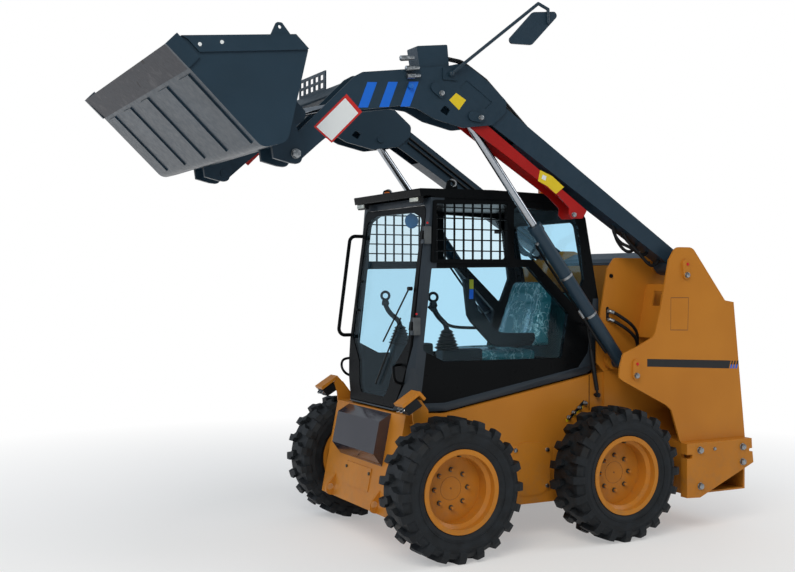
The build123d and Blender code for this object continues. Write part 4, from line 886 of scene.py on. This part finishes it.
def controls():
    """Two control pods with bellows boots, levers and grips, and the lap bar with its blank labels."""
    made = []
    for side in BOTH:
        pod = block((side * 250, -420, 862), (side * 335, -150, 1100), 14)
        boot = turned((side * 290, -366, 1100), (0, 0, 1), BOOT_PROFILE)
        lever = hose([(side * x, y, z) for x, y, z in LEVER], 15)
        grip = turned((side * 302, -460, 1335), (0, -0.1, 1), GRIP_PROFILE, 24)
        loop = ring((side * 302, -462, 1396), (0.9, -0.3, 0.1), 24, 8, around=32, across=10)
        made += [pod, boot, lever, grip, loop]
    made.append(side_plate(LAP_BAR, LAP_BAR_X - 28, LAP_BAR_X, 6))
    made.append(hose(LAP_BAR_ARM, 9))
    controls_piece = keep("cab_controls", joined(made), "chassis", PLASTIC)
    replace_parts(controls_piece, "operator_controls")
    for name, film, corners in LAP_BAR_LABELS:
        label = side_plate(corners, LAP_BAR_X, LAP_BAR_X + 0.6)
        keep(f"lap_bar_label_{name}", label, "chassis", film)


def rear_liner():
    """Moulded liner on the cab's rear wall, with a grille between two strips."""
    panel = block((-345, 536, 1005), (345, 546, 1412), 4)
    strips = [block((-250, 530, z), (250, 536, z + 12), 2) for z in (1130, 1330)]
    slats = [block((-200 + 40 * i, 531, 1160), (-190 + 40 * i, 536, 1310), 1) for i in range(11)]
    keep("rear_liner", joined([panel, *strips, *slats]), "chassis", LINER)


# ------------------------------------------------------------------ front of the machine
BOWL_PROFILE = ((0, 2), (9, 3), (17, 8), (20, 12), (21, 11), (18, 4), (0, 0))
# y, z at the foot of each silver coupler on the gooseneck
COUPLERS = ((-850, 2646), (-818, 2596), (-812, 2556))


def front():
    """Bowls in the work lamps, couplers and cap on the left gooseneck, and the front cover's bolts."""
    bowls = [turned((side * x, -780, 797), (0, -0.72, 0.65), BOWL_PROFILE, 24)
             for side in BOTH for x in (520, 560)]
    keep("lamp_bowls", joined(bowls), "chassis", REFLECTOR)
    silver = []
    for y, z in COUPLERS:
        silver.append(bar((646, y, z), (646, y + 46, z + 6), 15, 6, 1.5))
        silver.append(bar((646, y + 40, z + 5), (646, y + 78, z + 10), 10, 16, 1.5))
    keep("gooseneck_couplers", joined(silver), "lift_arms", ZINC, 30)
    cap = bar((ARM_X, -788, 2507), (652, -788, 2507), 14, 20, 2)
    keep("gooseneck_blue_cap", cap, "lift_arms", BLUE_CAP)
    pattern = hex_bolt(9)
    screws = [copy_at(pattern, stand(at(x, -789, 400), (0, -1, 0.15))) for x in (-150, 150)]
    drop(pattern)
    keep("front_cover_bolts", joined(screws), "chassis", DULL_ZINC, 30)


# x, y, z along each black hose that clips hold at the lower end of a boom
ARM_HOSES = (
    ((540, 620, 1810), (540, 632, 1750), (540, 676, 1690), (540, 722, 1660), (540, 772, 1668),
     (540, 800, 1720)),
    ((556, 600, 1820), (556, 610, 1765), (556, 660, 1712), (556, 730, 1690), (556, 800, 1650),
     (556, 850, 1640), (556, 880, 1690)),
    ((572, 660, 1800), (572, 676, 1742), (572, 730, 1700), (572, 800, 1640), (572, 880, 1570),
     (572, 930, 1600), (572, 940, 1640)),
)


def arm_hoses():
    """Bundle of three hoses at each boom's lower end."""
    for side in BOTH:
        made = [hose([(side * x, y, z) for x, y, z in points], 10) for points in ARM_HOSES]
        keep(f"boom_end_hoses_{SIDE_NAME[side]}", joined(made), "lift_arms", RUBBER)


# ------------------------------------------------------------------ floor, light and camera
def studio_floor():
    """Pale painted floor that holds the machine's shadow near it and ends in white."""
    bpy.ops.mesh.primitive_plane_add(size=60, location=(0, 0, 0))
    floor = bpy.context.active_object
    floor.name = "studio_floor"
    material, tree, place = new_material("pale_floor_paint")
    mottle = node(tree, "TexNoise", {"Vector": place, "Scale": per_mm(2500), "Detail": 3.0})
    tone = node(tree, "ValToRGB", {"Fac": mottle}, ((0.3, "#f4f4f3"), (0.7, "#f8f8f8")))
    matt = node(tree, "BsdfPrincipled", {"Base Color": tone, "Roughness": 0.7, "Specular IOR Level": 0.2})
    glow = node(tree, "Emission", {"Color": linear("#ffffff"), "Strength": 1.0})
    rays = node(tree, "LightPath").node.outputs
    seen = node(tree, "Math", {0: rays["Is Camera Ray"], 1: rays["Is Glossy Ray"]}, operation="ADD")
    seen = node(tree, "Math", {0: seen, 1: rays["Is Transmission Ray"]}, operation="ADD", use_clamp=True)
    reach = node(tree, "VectorMath", {0: place}, operation="LENGTH", output="Value")
    far = node(tree, "MapRange", {VALUE: reach, LOW: 1.6, HIGH: 5.5, AT_LOW: 0.35, AT_HIGH: 1.0})
    share = node(tree, "Math", {0: seen, 1: far}, operation="MULTIPLY")
    both = node(tree, "MixShader", {0: share, 1: matt, 2: glow})
    node(tree, "OutputMaterial", {"Surface": both})
    floor.data.materials.append(material)


def surround():
    """A soft blue-white light all round, which the camera sees as plain white, also through glass."""
    world = bpy.data.worlds.new("studio_surround")
    bpy.context.scene.world = world
    world.use_nodes = True
    tree = world.node_tree
    tree.nodes.clear()
    rays = node(tree, "LightPath").node.outputs
    lit = node(tree, "Background", {"Color": linear("#dfe9f2"), "Strength": 0.42})
    seen = node(tree, "Background", {"Color": linear("#ffffff"), "Strength": 1.0})
    either = node(tree, "Math", {0: rays["Is Camera Ray"], 1: rays["Is Transmission Ray"]},
                  operation="MAXIMUM")
    both = node(tree, "MixShader", {0: either, 1: lit, 2: seen})
    node(tree, "OutputWorld", {"Surface": both})


# name, place and disc's size in metres, power in watts, colour
SOFTBOXES = (
    ("key_softbox", (5.5, -4.5, 6.5), 5.0, 380, "#fff6ea"),
    ("fill_softbox", (-5.0, -6.0, 4.0), 5.0, 130, "#eaf2ff"),
    ("back_softbox", (3.0, 6.5, 5.5), 4.0, 130, "#ffffff"),
)
LIT_POINT = Vector((0, 0, 1.2))  # the softboxes face it


def softboxes():
    """Three round softboxes: key, fill and back."""
    for name, place, size, power, colour in SOFTBOXES:
        light = bpy.data.lights.new(name, "AREA")
        light.shape = "DISK"
        light.size = size
        light.energy = power
        light.color = linear(colour)[:3]
        lamp = bpy.data.objects.new(name, light)
        bpy.context.scene.collection.objects.link(lamp)
        lamp.location = place
        lamp.rotation_euler = (LIT_POINT - lamp.location).to_track_quat("-Z", "Y").to_euler()


CAMERA_PLACE = (5732.2, -3475.4, 1496.9)
CAMERA_AZIMUTH, CAMERA_ELEVATION, CAMERA_ROLL = 62.8328, 0.3501, 0.0788  # degrees
CAMERA_LENS, CAMERA_SENSOR = 49.79, 36.0  # millimetres


def camera():
    """The camera stands off the machine's left front, a little below the arms' pins on the towers."""
    data = bpy.data.cameras.new("camera")
    data.sensor_width = CAMERA_SENSOR
    data.lens = CAMERA_LENS
    made = bpy.data.objects.new("camera", data)
    bpy.context.scene.collection.objects.link(made)
    facing = (Matrix.Rotation(math.radians(CAMERA_AZIMUTH), 4, "Z")
              @ Matrix.Rotation(math.pi / 2 - math.radians(CAMERA_ELEVATION), 4, "X")
              @ Matrix.Rotation(math.radians(CAMERA_ROLL), 4, "Z"))
    made.matrix_world = Matrix.Translation(at(*CAMERA_PLACE)) @ facing
    bpy.context.scene.camera = made
    bpy.context.scene.view_settings.view_transform = "Standard"


bpy.ops.object.select_all(action="DESELECT")
paint_cad_nodes()
camera()
towers()
seat()
controls()
rear_liner()
bolts()
wheels()
films()
bucket_discs()
lift_cylinders()
cab_sides()
cab_front_fittings()
drain()
latch_and_marker()
cab_door_fittings()
front()
arm_hoses()
studio_floor()
surround()
softboxes()
